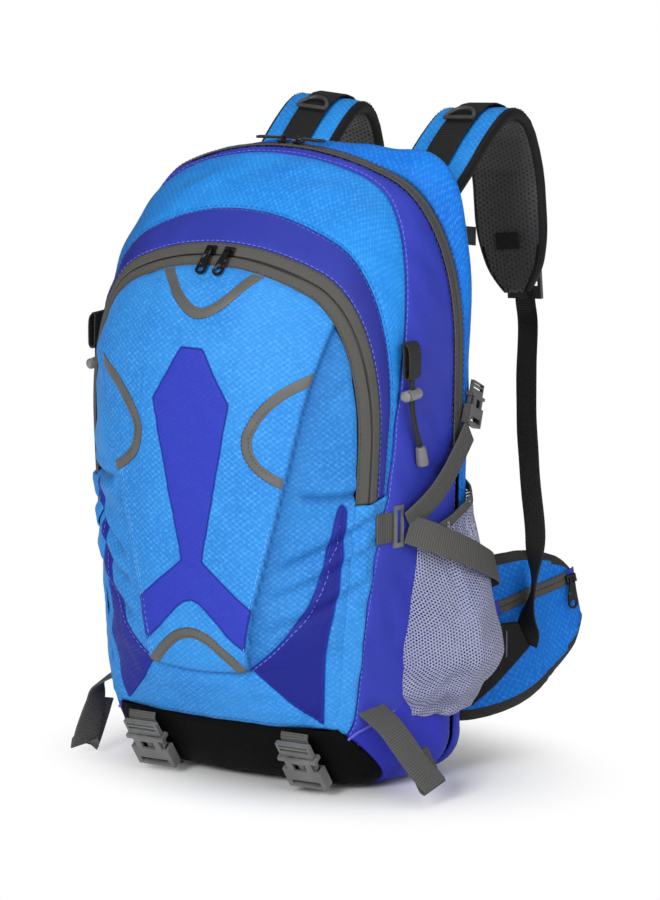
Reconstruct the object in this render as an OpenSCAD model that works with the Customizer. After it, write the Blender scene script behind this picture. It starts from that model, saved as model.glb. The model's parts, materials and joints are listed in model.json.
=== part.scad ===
// Hiking daypack: a sewn bag on a padded back, with harness, hip belt, zips, buckles and cords.
// The bag stands on the floor, +Z up. Its front faces -Y and its back panel faces +Y.

/* [Bag] */
// Height of the bag above the floor
bag_h = 506; // [490:2:520]
// Width of the bag across the main zip
bag_w = 298; // [292:2:304]
// Depth position of the main zip, behind the middle of the base
zip_y = 34; // [32:1:36]
// Depth position of the back panel's outer face
back_y = 88; // [86:1:90]
// How far the sides of the bag are set back behind its middle
turn_back = 15; // [12:1:18]
// Radius of the bag's lower side corners
corner_r = 35; // [30:1:38]
// Thickness of a fabric panel with its lining
fabric = 2.4; // [2:0.2:3]

/* [Front pocket] */
// Width of the pocket across its zip
pocket_w = 262; // [256:2:266]
// Height of the pocket zip's top
pocket_top = 430; // [426:1:434]
// Depth position of the top of the pocket zip
pocket_y = -71; // [-74:1:-68]
// How far the pocket's face swells out in front of its zip
pocket_swell = 40; // [34:1:44]
// Height of the seam between the front and the base
base_seam = 54; // [52:1:58]
// How far the base curves up under the pocket zip
base_rise = 44; // [40:1:46]

/* [Webbing and harness] */
// Width of the strap webbing
webbing = 25; // [20:1:25]
// Thickness of the strap webbing
webbing_t = 1.8; // [1.4:0.1:2]
// Width of a shoulder pad
pad_w = 68; // [62:1:72]
// Thickness of a shoulder pad
pad_t = 14; // [12:1:16]
// Thickness of a hip wing
wing_t = 14; // [12:1:16]

/* [Hidden] */
$fn = 32;
half_w = bag_w / 2;
pocket_half = pocket_w / 2;
gap = 0.4;            // clearance between pieces that move apart
crown_end = 0.175;    // share of a side's run that is the even crown
arch_end = 0.385;     // share of a side's run where the side becomes straight
corner_start = 0.912; // share of a side's run where the lower corner starts
zip_end = 0.52;       // share of a side's run where both zips stop
base_front = 0.45;    // depth share where the base seam meets the floor
band_front = 0.84;    // depth share of the seam in front of the side gusset, at the zips' ends
tape_share = 0.055;   // depth share that one half of the main zip covers
tape_d = 8;           // width of one half of the pocket zip
chain_gap = 1.3;      // from a zip's centre line to the edge of its tape
crown_turn = 25;      // degrees of the crown on each side
crown_k = 1.515;      // radius of the crown over the half width
drop_k = 1.03;        // height of the round top over the half width
main_arc_r = crown_k * half_w;              // radius of the main zip's crown
main_arc_z = bag_h - main_arc_r;            // its centre
pocket_arc_r = crown_k * pocket_half;       // radius of the pocket zip's crown
pocket_arc_z = pocket_top - pocket_arc_r;   // its centre

SKY = "#2a86f0";
ROYAL = "#3b36b0";
GREY = "#5c5a58";
DARK = "#2b2b2b";
BLACK = "#101010";

// Number and point helpers
function mix(a, b, k) = a + (b - a) * k;
function ease(k) = let (c = min(1, max(0, k))) c * c * (3 - 2 * c);
function unit(v) = v / norm(v);
function flat_list(rows) = [for (row = rows) each row];

// Points of a smooth curve through a route's own points
function curve_point(p, i, k) =
    let (n = len(p) - 1, a = p[max(0, i - 1)], b = p[i], c = p[min(n, i + 1)], d = p[min(n, i + 2)])
    0.5 * (2 * b + (c - a) * k + (2 * a - 5 * b + 4 * c - d) * k * k + (3 * b - a - 3 * c + d) * k * k * k);
function curve(p, steps) = [
    for (i = [0 : len(p) - 2], s = [0 : steps - 1]) curve_point(p, i, s / steps),
    p[len(p) - 1]];
function tangent(p, i) = unit(p[min(len(p) - 1, i + 1)] - p[max(0, i - 1)]);

// A closed solid through rings of points that all have the same count
module loft(rings) {
    n = len(rings[0]);
    m = len(rings);
    sides = [for (i = [0 : m - 2], j = [0 : n - 1]) let (
        a = i * n + j, b = i * n + (j + 1) % n, c = a + n, d = b + n) each [[a, d, b], [a, c, d]]];
    polyhedron(flat_list(rings),
        concat(sides, [[for (j = [0 : n - 1]) j]], [[for (j = [n - 1 : -1 : 0]) (m - 1) * n + j]]));
}

// A closed thin shell between an outer and an inner grid of points
module shell(outer, inner) {
    n = len(outer[0]);
    m = len(outer);
    rings = [for (i = [0 : m - 1]) concat(outer[i], [for (j = [n - 1 : -1 : 0]) inner[i][j]])];
    k = 2 * n;
    sides = [for (i = [0 : m - 2], j = [0 : k - 1]) let (
        a = i * k + j, b = i * k + (j + 1) % k, c = a + k, d = b + k) each [[a, d, b], [a, c, d]]];
    ends = [for (j = [0 : n - 2]) let (a = j, b = j + 1, c = k - 2 - j, d = k - 1 - j, e = (m - 1) * k)
        each [[a, b, c], [a, c, d], [e + a, e + c, e + b], [e + a, e + d, e + c]]];
    polyhedron(flat_list(rings), concat(sides, ends));
}

// A flat strap along a route; across gives the direction of its width at each point
module ribbon(route, across, width, thick) {
    rings = [for (i = [0 : len(route) - 1]) let (
        t = tangent(route, i),
        n = unit(cross(t, across[i])),
        a = unit(cross(n, t)) * width / 2,
        h = n * thick / 2) [route[i] - a - h, route[i] + a - h, route[i] + a + h, route[i] - a + h]];
    loft(rings);
}
function same(v, route) = [for (p = route) v];

// A padded strip along a route, with rounded edges; widths and thicknesses are given at each point
module padded_strip(route, across, widths, thicks) {
    profile = [[-1, -0.4], [-0.82, -1], [0.82, -1], [1, -0.4], [1, 0.4], [0.82, 1], [-0.82, 1], [-1, 0.4]];
    rings = [for (i = [0 : len(route) - 1]) let (
        t = tangent(route, i),
        n = unit(cross(t, across[i])),
        a = unit(cross(n, t))) [for (q = profile)
            route[i] + a * q[0] * widths[i] / 2 + n * q[1] * thicks[i] / 2]];
    loft(rings);
}

// Puts a piece at p with its own x and z along the given directions
module at(p, x, z) {
    zz = unit(z);
    yy = unit(cross(zz, x));
    xx = cross(yy, zz);
    multmatrix([[xx[0], yy[0], zz[0], p[0]], [xx[1], yy[1], zz[1], p[1]], [xx[2], yy[2], zz[2], p[2]],
        [0, 0, 0, 1]]) children();
}
module both_sides() {
    children();
    mirror([1, 0, 0]) children();
}

// The bag's form: depth share t runs from the main zip, 0, to the pocket zip, 1
function width_at(t) = mix(half_w, pocket_half, pow(max(0, t), 1.8));
function top_at(t) = mix(bag_h, pocket_top, pow(max(0, t), 1.65));
function floor_at(t) = base_rise * pow(max(0, (t - 0.55) / 0.45), 2);
function depth_at(t) = mix(zip_y, pocket_y, t);
function seam_at(t) = base_seam * max(0, (t - base_front) / (1 - base_front));
// The sides draw in towards the floor, the more so the further forward
function taper(t, z, mid) = 1 - (0.04 + 0.16 * max(0, min(1, t))) * pow(max(0, 1 - z / mid), 1.4);

// A point of a round-topped outline: u is 0 at the top, and -1 and 1 where the lower corners reach the floor
function shoulder(k, w) =
    let (
        a = [crown_k * sin(crown_turn), -crown_k * (1 - cos(crown_turn))],
        b = a + 0.245 * [cos(crown_turn), -sin(crown_turn)],
        d = [1, -drop_k],
        c = d + [0, 0.45],
        e = 1 - k)
    w * (a * e * e * e + 3 * b * e * e * k + 3 * c * e * k * k + d * k * k * k);
function outline(u, w, top, low, r) =
    let (v = abs(u), s = u < 0 ? -1 : 1, mid = top - drop_k * w)
    v <= crown_end ? let (a = crown_turn * v / crown_end)
        [s * w * crown_k * sin(a), top - w * crown_k * (1 - cos(a))] :
    v <= arch_end ? let (q = shoulder((v - crown_end) / (arch_end - crown_end), w)) [s * q[0], top + q[1]] :
    v <= corner_start ? [s * w, mix(mid, low + r, (v - arch_end) / (corner_start - arch_end))] :
    let (a = 90 * (v - corner_start) / (1 - corner_start)) [s * (w - r + r * cos(a)), low + r - r * sin(a)];
function mid_at(t) = top_at(t) - drop_k * width_at(t);
function set_back(x, t) = turn_back * pow(x / width_at(t), 2);
function bag_point(u, t, inset) =
    let (
        q = outline(u, width_at(t) - inset, top_at(t) - inset, floor_at(t) + inset, corner_r - inset),
        x = q[0] * taper(t, q[1], mid_at(t)))
    [x, depth_at(t) + set_back(x, t), q[1]];

// Where the base seam crosses a depth station, as a share of the side's run
function seam_run(t) =
    let (z = seam_at(t), low = floor_at(t), mid = mid_at(t))
    z >= low + corner_r ? mix(arch_end, corner_start, (mid - z) / (mid - low - corner_r)) :
    z <= low ? 1 : mix(corner_start, 1, asin((low + corner_r - z) / corner_r) / 90);
// The side's run stretched so that it ends on the base seam
function run_at(v, t) = v <= zip_end ? v : mix(zip_end, seam_run(t), (v - zip_end) / (1 - zip_end));

// Seams of the bag's panels, as depth shares along a side's run
function rear_edge(v) = mix(tape_share, 0.004, ease((v - zip_end) / 0.03));
function gusset_edge(v) = v <= zip_end ?
    mix(0.17, band_front - 0.064, ease((v - 0.13) / 0.3)) + 0.04 * ease((v - 0.44) / 0.08) :
    mix(band_front - 0.024, 0.951, 1 - pow(1 - min(1, (v - zip_end) / 0.3), 2));
function band_edge(v) = v <= zip_end ? mix(0.70, band_front, ease(v / zip_end)) : gusset_edge(v) + 0.024;
// A point on the straight part of the side, a little way off the cloth
function side_point(t, z, out) =
    let (x = width_at(t) * taper(t, z, mid_at(t))) [x + out, depth_at(t) + set_back(x, t), z];

// The pocket's swollen face, as depth over x and z; it falls back towards the base
pocket_mid = mid_at(1);
function face_share(x, z) =
    let (a = abs(x) / pocket_half / taper(1, z, pocket_mid), b = max(0, z - pocket_mid) / (drop_k * pocket_half))
    min(1, pow(pow(a, 2.5) + pow(b, 2.5), 0.4));
function face_y(x, z) =
    pocket_y + set_back(x, 1) - pocket_swell * (1 - pow(face_share(x, z), 3.2))
    * (1 - 0.85 * pow(max(0, 1 - (z - base_seam) / 85), 1.6));

// An arched panel of the bag over a range of runs, between two seams
module arch_panel(runs, front_of, back_of, steps, thick = fabric, proud = 0) {
    function grid(inset) = [for (u = runs) [for (k = [0 : steps]) let (
        v = abs(u), t = mix(back_of(v), front_of(v), k / steps), s = u < 0 ? -1 : 1)
        bag_point(s * run_at(v, t), t, inset)]];
    shell(grid(-proud), grid(thick));
}
function runs(last, n) = [for (i = [-n : n]) last * i / n];
arch_runs = runs(zip_end, 16);
below_zip = [for (i = [1 : 10]) mix(zip_end, 1, i / 10)];
full_runs = concat([for (i = [9 : -1 : 0]) -below_zip[i]], arch_runs, below_zip);

// Bag panels

module main_gusset() {
    color(ROYAL) arch_panel(full_runs, function (v) gusset_edge(v), function (v) rear_edge(v), 4);
}

module front_band() {
    color(SKY) arch_panel(arch_runs, function (v) band_edge(v), function (v) gusset_edge(v) + 0.003, 3);
}

module pocket_gusset() {
    color(ROYAL) arch_panel(arch_runs, function (v) 0.93, function (v) band_edge(v), 3);
}

module front_zip_tape() {
    color(GREY) arch_panel(arch_runs, function (v) tape_share, function (v) chain_gap / 105, 1, 1.6, 0.3);
}

module pocket_zip_tape() {
    color(GREY) arch_panel(arch_runs, function (v) 1 - (chain_gap + 0.6) / 105, function (v) 0.93, 1, 1.6, 0.3);
}

module rear_zip_tape() {
    color(GREY) arch_panel(arch_runs, function (v) -chain_gap / 105, function (v) -tape_share, 1, 1.6, 0.3);
}

// Lower front with both front corners, from the zip ends down to the base seam
function front_row(v, inset) =
    let (
        corner = [for (k = [0 : 3]) mix(band_edge(v), 1, k / 3)],
        z = bag_point(run_at(v, 1), 1, 0)[2],
        top = v == zip_end ? gap : 0,
        side = [for (t = corner) bag_point(run_at(v, t), t, inset) - [0, 0, top]],
        reach = abs(bag_point(run_at(v, 1), 1, inset)[0]),
        across = [for (k = [1 : 11]) reach - 2 * reach * k / 12])
    concat(side, [for (x = across) [x, face_y(x, z) + inset, z - top]],
        [for (k = [3 : -1 : 0]) [-side[k][0], side[k][1], side[k][2]]]);
module lower_front() {
    levels = [for (i = [0 : 10]) mix(zip_end, 1, i / 10)];
    color(SKY) shell([for (v = levels) front_row(v, 0)], [for (v = levels) front_row(v, fabric)]);
}

// The pocket's flap, inside its zip and above the fold between the zip ends
fold_z = outline(zip_end, pocket_half, pocket_top, base_rise, corner_r)[1];
function flap_row(v, inset) =
    let (q = outline(v, pocket_half - tape_d, pocket_top - tape_d, base_rise, corner_r),
        z = max(q[1], fold_z + gap), reach = q[0] * taper(1, z, pocket_mid))
    [for (i = [-8 : 8]) let (x = reach * sin(90 * i / 8)) [x, face_y(x, z) + inset, z]];
module pocket_flap() {
    levels = [zip_end, 0.47, 0.43, 0.385, 0.35, 0.315, 0.28, 0.245, 0.21, 0.175, 0.14, 0.1, 0.06, 0.02];
    color(SKY) shell([for (v = levels) flap_row(v, 0)], [for (v = levels) flap_row(v, fabric)]);
}
function flap_edge(u, d, inset) =
    let (q = outline(u, pocket_half - d, pocket_top - d, base_rise, corner_r),
        z = max(q[1], fold_z + gap), x = q[0] * taper(1, z, pocket_mid))
    [x, face_y(x, z) + inset, z];
module flap_zip_tape() {
    edges = [chain_gap, tape_d - 0.6];
    function grid(inset) = [for (u = arch_runs) [for (d = edges) flap_edge(u, d, inset)]];
    color(GREY) shell(grid(-0.3), grid(1.6));
}

// Inner wall between the main compartment and the front pocket
module pocket_divider() {
    t = 0.8;
    w = width_at(0.94) - fabric - 2;
    top = top_at(0.84) - fabric - 2;
    wall = [for (u = runs(0.86, 24)) let (q = outline(u, w, top, 0, corner_r))
        [q[0] * taper(1, q[1], mid_at(1)), q[1]]];
    color(GREY) translate([0, depth_at(t) + 2, 0]) rotate([90, 0, 0]) linear_extrude(1.6) polygon(wall);
}

// Back of the bag: the strip behind the main zip, turning in to the back panel. As it is packed, the right
// shoulder is the fuller one
function rear_bulge(u) = mix(0.12, 1, ease((u + 0.1) / 0.2))
    * (22 * exp(-pow((abs(u) - 0.2) / 0.085, 2)) + 4 * (1 - ease((abs(u) - 0.3) / 0.15)));
function back_point(u, k, inset) =
    let (turn = 26 * (1 - sqrt(1 - k * k * 0.96)) - rear_bulge(u) * sin(180 * pow(k, 1.15)),
        q = outline(u, half_w - turn - inset, bag_h - turn - inset, inset, corner_r - inset),
        x = q[0] * taper(0, q[1], mid_at(0)),
        y = mix(zip_y + rear_start + set_back(x, 0), back_y - 6, k))
    [x, y - (k == 1 ? inset : 0), q[1]];
rear_start = 6.5;
module back_gusset() {
    steps = 5;
    function grid(inset) = [for (u = full_runs) [for (k = [0 : steps]) back_point(u, k / steps, inset)]];
    color(SKY) shell([for (row = grid(0)) [for (i = [steps : -1 : 0]) row[i]]],
        [for (row = grid(fabric)) [for (i = [steps : -1 : 0]) row[i]]]);
}

back_inset = 26 * (1 - sqrt(0.04));
module back_outline(inset) {
    polygon([for (u = runs(1, 24)) let (q = outline(u, half_w - back_inset - inset, bag_h - back_inset - inset,
        inset, corner_r)) [q[0] * taper(0, q[1], mid_at(0)), q[1]]]);
}
module upright(y, thick) {
    translate([0, y + thick, 0]) rotate([90, 0, 0]) linear_extrude(thick) children();
}
module back_panel() {
    color(DARK) upright(back_y - 6, 5.9) back_outline(0.2);
}
module frame_sheet() {
    color("#e8e6df") upright(back_y - 8.2, 2) offset(12) offset(-12) translate([-105, 40]) square([210, 390]);
}
module back_pads() {
    color(BLACK) intersection() {
        union() {
            both_sides() hull() for (z = [190, 366])
                translate([62, back_y, z]) scale([1, 0.3, 1]) sphere(36, $fn = 20);
            hull() for (x = [-42, 42]) translate([x, back_y, 105]) scale([1, 0.33, 1]) sphere(36, $fn = 20);
        }
        translate([-150, back_y + 0.1, 0]) cube([300, 40, 500]);
    }
}
module inner_sleeve() {
    color(GREY) difference() {
        translate([-112, back_y - 24, 12]) cube([224, 15.5, 300]);
        translate([-109, back_y - 21, 15]) cube([218, 12.3, 300]);
    }
}

// Base: the flat bottom, the front corners and the lip that rises to the front seam
function base_ring(t, low, seam, inset, ahead = 0) =
    let (
        r = corner_r,
        w = width_at(t) - (t == base_back ? 22 : t == base_mid ? 4 : 0),
        turn = low + r <= seam ? 0 : seam <= low ? 90 : asin((low + r - seam) / r),
        side = [for (k = [0 : 4]) let (a = mix(turn, 90, k / 4))
            [w - r + (r - inset) * cos(a) - (turn == 90 ? 2 * k + 3 * gap : 0),
                min(low + r - (r - inset) * sin(a), max(seam, low + inset))]],
        flat = [for (k = [1 : 4]) [(w - r) * (1 - k / 4), low + inset]],
        half = [for (q = concat(side, flat)) [q[0] * taper(t, q[1], mid_at(t)), q[1]]],
        right = [for (q = half) [q[0], depth_at(t) + (t == base_back ? 0 : set_back(q[0], t)) - ahead
            + (t == 1 ? inset * 0.7 : 0), q[1]]])
    concat(right, [for (k = [7 : -1 : 0]) [-right[k][0], right[k][1], right[k][2]]]);
base_back = (zip_y - back_y + 7) / (zip_y - pocket_y);
base_mid = base_back / 2;
module base_panel() {
    shares = [base_back, base_mid, 0, 0.25, base_front, 0.55, 0.65, 0.75, 0.82, 0.88, 0.94, 1];
    function grid(inset) = concat(
        [for (t = shares) base_ring(t, floor_at(t), seam_at(t) - gap * (t < 0.6 ? 5 : 1), inset)],
        [base_ring(1, base_rise + 5, base_seam - gap, inset, 3)]);
    color(BLACK) shell([for (row = grid(0)) [for (k = [16 : -1 : 0]) row[k]]],
        [for (row = grid(fabric + 1)) [for (k = [16 : -1 : 0]) row[k]]]);
}

// Side pockets of mesh, open at the top
pocket_low = 58;
pocket_hem = [184, 238];
mesh_x = half_w + 1;
slack_side = 0.2;     // fullness of the left net against the right one
function mesh_path(k, inset, full) =
    let (y = mix(-26, back_y - 8, k), swell = pow(sin(180 * mix(0.04, 0.96, k)), 0.7),
        root = mesh_x - 13 * pow(max(0, k - 0.7) / 0.3, 2.2))
    concat([[root, y, pocket_low + inset]],
        [for (g = [0 : 0.125 : 1]) let (out = full * (mix(24, 34, ease(g * 2.4)) - 28 * ease(g * 2.2 - 1.2)) * swell + 2.2)
            [root + out - inset, y, mix(pocket_low + inset, mix(pocket_hem[0], pocket_hem[1], k), g)]]);
module mesh_pockets() {
    columns = [for (i = [12 : -1 : 0]) i / 12];
    color("#aab0d8") {
        shell([for (k = columns) mesh_path(k, 0, 1)], [for (k = columns) mesh_path(k, 2, 1)]);
        mirror([1, 0, 0]) shell([for (k = columns) mesh_path(k, 0, slack_side)],
            [for (k = columns) mesh_path(k, 2, slack_side)]);
    }
}

// Webbing, sewn to the bag

// Compression strap: a vee from the front ring back to the rear edge of the bag
vee_x = mesh_x + 1.5;
module side_vee(full) {
    start = side_point(ring_t, tab_z, 6.6) + [0.6, 8.4, 0];
    upper = curve([start + [0, 0, 2], [vee_x + 2, 4, 239], [vee_x + 4.5, 32, 262], [vee_x + 4, 56, 283]], 3);
    lower = curve([start - [0, 0, 3], [vee_x + 9 * full, -2, 205], [vee_x + 22 * full, 20, 193],
        [vee_x + 27 * full, 42, 182], [vee_x + 23.5 * full, 66, 171], [vee_x + 5, 88, 161]], 3);
    ribbon(upper, same([0.1, -0.75, 0.66], upper), webbing, webbing_t);
    ribbon(lower, same([-0.35, 0.15, 0.93], lower), webbing, webbing_t);
}
module compression_straps() {
    color(GREY) {
        side_vee(1);
        mirror([1, 0, 0]) side_vee(0.42);
    }
}

module haul_loop() {
    route = curve([[-43, back_y + 11.4, 460], [-41, back_y + 12, 474], [-28, back_y + 15, 488], [0, back_y + 16, 493],
        [28, back_y + 15, 488], [41, back_y + 12, 474], [43, back_y + 11.4, 460]], 4);
    color(BLACK) ribbon(route, same([0, 1, 0], route), 22, 3);
}

module strap_anchors() {
    route = curve([[124, back_y + 2, 84], [146, back_y + 14, 92], [168, back_y + 38, 105]], 3);
    n = len(route) - 1;
    color(BLACK) both_sides() loft([for (i = [0 : n]) let (
        w = mix(42, webbing / 2 + 1, i / n), p = route[i])
        [p + [0, -2, -w], p + [0, 2, -w], p + [0, 2, w * 0.8], p + [0, -2, w * 0.8]]]);
}

pad_route = curve([[66, back_y + 10, 430], [68, back_y + 32, 450], [70, back_y + 62, 474], [71, back_y + 94, 499],
    [72, back_y + 126, 515], [74, back_y + 154, 506], [76, back_y + 172, 466], [80, back_y + 172, 424],
    [84, back_y + 172, 388], [87, back_y + 172, 362]], 3);
pad_end = pad_route[len(pad_route) - 1];
anchor_end = [171, back_y + 40, 112];
module lower_webbing() {
    route = curve([pad_end + [1, 11.8, -9], pad_end + [6, 7, -30], [122, back_y + 124, 286], [150, back_y + 78, 238],
        [173, back_y + 47, 188], [179, back_y + 35, 150], anchor_end], 12);
    n = len(route) - 1;
    turns = [for (i = [0 : n]) let (a = 100 * ease((i / n - 0.6) / 0.4) + 8 * ease(i / n * 4)) [cos(a), -sin(a), 0]];
    color(BLACK) both_sides() ribbon(route, turns, webbing, webbing_t);
}

// Straps under the base with their buckles, two on the front lip
buckle_x = 72;
buckle_down = unit([0, 0.6, -0.8]);
buckle_out = cross([1, 0, 0], buckle_down);
buckle_top = [buckle_x, pocket_y - 7, base_seam - 11];
module base_straps() {
    route = [buckle_top + buckle_down * 48.5 + [0, 0.5, 0.4], [buckle_x, pocket_y + 26, 5.4],
        [buckle_x, pocket_y + 33, 1.6], [buckle_x, pocket_y + 37, 1.2]];
    color(GREY) both_sides() ribbon(route, same([1, 0, 0], route), webbing, webbing_t);
}
module at_buckle(side) {
    mirror([side < 0 ? 1 : 0, 0, 0]) at(buckle_top, [1, 0, 0], -buckle_out) children();
}
module base_tabs() {
    route = [buckle_top + buckle_down * 3 + buckle_out * 2, buckle_top - buckle_down * 3 + buckle_out * 2.4,
        [buckle_x, pocket_y - 6.2, base_seam - 2]];
    color(GREY) both_sides() ribbon(route, same([1, 0, 0], route), webbing, 2.4);
}
module base_sockets() {
    color(GREY) for (s = [-1, 1]) at_buckle(s) buckle_socket();
}
module base_plug(side) {
    color(GREY) at_buckle(side) buckle_plug();
}

// Side-release buckle: y points out of the socket, towards the plug's webbing
plug_half = [[15.5, 2], [15.5, -12], [14.5, -13], [14.5, -24], [12, -31], [8.5, -31], [8.5, -24], [8, -12],
    [2.5, -12], [2.5, -30]];
module buckle_plug() {
    linear_extrude(4) difference() {
        polygon(concat(plug_half, [for (i = [len(plug_half) - 1 : -1 : 0]) [-plug_half[i][0], plug_half[i][1]]]));
        translate([-13.2, -1.6]) square([26.4, 2.2]);
        translate([-13.2, -6.6]) square([26.4, 3]);
    }
}
module buckle_socket() {
    difference() {
        translate([-17.5, -47, -2.6]) cube([35, 34.5, 9.2]);
        translate([-15.2, -34, -0.6]) cube([30.4, 34, 5.2]);
        both_sides() translate([12, -26, -4]) cube([9, 10, 13]);
        translate([-6, -27, 2]) cube([12, 9, 9]);
        translate([-13.2, -44, -4]) cube([26.4, 5.5, 13]);
    }
}

// Rear compression buckles, closed, one on each rear edge of the bag
module compression_buckles() {
    color(GREY) both_sides() at([half_w + 2.5, back_y - 15, 318], [0, 0.92, -0.38], [1, 0.1, 0]) scale(0.72) {
        buckle_socket();
        buckle_plug();
    }
}

// Front tabs with rings, that hold the compression straps
tab_z = 218;
ring_t = 0.715;
module strap_tabs() {
    route = [for (t = [0.93, 0.875, 0.82, ring_t + 0.053]) side_point(t, tab_z, 1.8)];
    color(GREY) both_sides() ribbon(route, same([0, 0, 1], route), webbing, 2);
}
module strap_rings() {
    color(DARK) both_sides() at(side_point(ring_t, tab_z, 2.8), [0.22, 1, 0], [1, -0.22, 0])
        difference() {
            translate([-5, -17, -1.5]) cube([10, 34, 3]);
            translate([-2.6, -13.2, -3]) cube([5.2, 26.4, 6]);
        }
}

// Loops for pole tips, hanging from the lower side seams
module pole_loops() {
    x0 = width_at(0.6) - 5;
    route = curve([[x0, -42, 60], [x0 + 9, -41, 50], [x0 + 24, -38, 30], [x0 + 36, -32, 16],
        [x0 + 41, -28, 13], [x0 + 40, -25, 16], [x0 + 28, -24, 26], [x0 + 14, -24, 34]], 7);
    steep = curve([[x0, -42, 60], [x0 + 5, -41, 46], [x0 + 12, -40, 24], [x0 + 17, -38, 8],
        [x0 + 19.5, -35, 5], [x0 + 18, -32, 9], [x0 + 12, -30, 28], [x0 + 8, -28, 44]], 7);
    color(GREY) {
        ribbon(route, same([0.25, 1, 0.35], route), webbing, webbing_t);
        mirror([1, 0, 0]) ribbon(steep, same([-0.35, 0.9, 0.1], steep), webbing, webbing_t);
    }
}

// Pole keepers: a webbing tab, two strands of elastic cord, a cord lock and a cord end on each side
keeper_y = depth_at(0.55);
keeper_x = width_at(0.55) + 5.2;
cord_r = 1.4;
strand_y = 1.7;
tab_low = 336;
cord_points = [[0, 0, tab_low + 8], [0, 0, tab_low - 8], [0.4, 0, tab_low - 22], [0.8, 3, tab_low - 36],
    [0.6, 8, tab_low - 47.4], [0.4, 12.2, tab_low - 54.4]];
function cord_route(side) = [for (p = curve(cord_points, 3)) p + [keeper_x, keeper_y + side * strand_y, 0]];
module cord(route) {
    rings = [for (i = [0 : len(route) - 1]) let (
        t = tangent(route, i), a = unit(cross(t, [0, 1, 0])), b = cross(t, a))
        [for (k = [0 : 7]) route[i] + cord_r * (a * cos(45 * k) + b * sin(45 * k))]];
    loft(rings);
}
module pole_cords() {
    color(BLACK) both_sides() for (side = [-1, 1]) cord(cord_route(side));
}
module pole_tabs() {
    color(GREY) both_sides() translate([keeper_x - 4.6, keeper_y - 9, tab_low]) difference() {
        cube([9.2, 18, 30]);
        translate([2.8, -1, -1]) cube([3.6, 20, 22]);
    }
}
lock_z = tab_low - 12;
lock_r = 4.6;
module cord_slot(length, height) {
    translate([0, 0, -height / 2]) linear_extrude(height) union() {
        translate([-cord_r - 0.4, -length / 2]) square([2 * cord_r + 0.8, length]);
        for (s = [-1, 1]) translate([0, s * length / 2]) circle(cord_r + 0.4);
    }
}
module cord_locks() {
    color(GREY) both_sides() translate([keeper_x, keeper_y, lock_z]) difference() {
        rotate([-90, 0, 0]) translate([0, 0, -6]) cylinder(r = lock_r, h = 15);
        rotate([-90, 0, 0]) translate([0, 0, -7]) cylinder(r = 3.5, h = 14);
        cord_slot(2 * strand_y, 12);
    }
}
module cord_button(side) {
    color(GREY) mirror([side < 0 ? 1 : 0, 0, 0]) translate([keeper_x, keeper_y, lock_z]) difference() {
        union() {
            rotate([-90, 0, 0]) translate([0, 0, -10.6]) cylinder(r = 3.4, h = 13.1);
            rotate([-90, 0, 0]) translate([0, 0, -13]) cylinder(r1 = 2.6, r2 = 4.4, h = 2.6);
        }
        translate([0, -2, 0]) cord_slot(2 * strand_y + 4.4, 12);
    }
}
module cord_ends() {
    color(GREY) both_sides() translate([keeper_x + 0.4, keeper_y + 13, tab_low - 56]) rotate([14, 0, 0])
        translate([0, 0, -15]) rotate_extrude() polygon([[0, 0], [4.6, 0], [5, 2], [4.2, 14], [3.4, 15.4], [0, 15.4]]);
}

// Zips: slider and pull, in a local frame with x along the zip, y to the rear tape and z outwards
module zip_slider(turn) {
    translate([-4.5, -1, 1.95]) cube([9, 7.6, 1.25]);
    translate([-3, 0.2, -3.4]) cube([6, 0.4, 6.2]);
    translate([-4.5, 0.1, -3.8]) cube([9, 6, 1.25]);
    translate([0, lug_y, 3]) rotate([0, 0, turn]) difference() {
        translate([-1.8, -1.1, 0]) cube([3.6, 2.2, 3.9]);
        translate([0, 2, lug_z]) rotate([90, 0, 0]) cylinder(r = 0.95, h = 4);
    }
}
lug_y = 2.8;
lug_z = 2.2;
// Pull, turning on its pin along y; it points along x
module zip_pull() {
    rotate([90, 0, 0]) translate([0, 0, -2.2]) cylinder(r = 0.9, h = 4.4);
    for (s = [-1, 1]) translate([-1, s * 1.95 - 0.55, -0.95]) cube([5, 1.1, 1.9]);
    difference() {
        union() {
            translate([2.6, 0, -0.8]) linear_extrude(1.6) polygon([[0, -2.6], [0, 2.6], [18, 4.6], [18, -4.6]]);
            translate([20.6, 0, -0.8]) cylinder(r = 4.6, h = 1.6);
        }
        translate([20.6, 0, -2]) cylinder(r = 2.7, h = 5);
    }
}
function on_arc(a, r, mid, y) = [r * sin(a), y, mid + r * cos(a)];
start_angle = 1.7;
module main_slider(side) {
    a = side * start_angle;
    color(DARK) at(on_arc(a, main_arc_r, main_arc_z, zip_y), [cos(a), 0, -sin(a)], [sin(a), 0, cos(a)])
        zip_slider(0);
}
module main_pull(side) {
    a = side * start_angle;
    color(DARK) at(on_arc(a, main_arc_r + 3 + lug_z, main_arc_z, zip_y + lug_y), side * [cos(a), 0, -sin(a)],
        [sin(a), 0, cos(a)]) zip_pull();
}
pocket_start = 2.4;
module at_pocket(side) {
    a = side * pocket_start;
    n = unit([0.64 * sin(a), -0.77, 0.64 * cos(a)]);
    at(on_arc(a, pocket_arc_r, pocket_arc_z, pocket_y), [cos(a), 0, -sin(a)], n) children();
}
module pocket_slider(side) {
    color(DARK) at_pocket(side) zip_slider(90);
}
module pocket_pull(side) {
    color(DARK) at_pocket(side) translate([0, lug_y, 3 + lug_z]) rotate([0, 0, -90]) rotate([0, -4, 0]) zip_pull();
}

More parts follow.
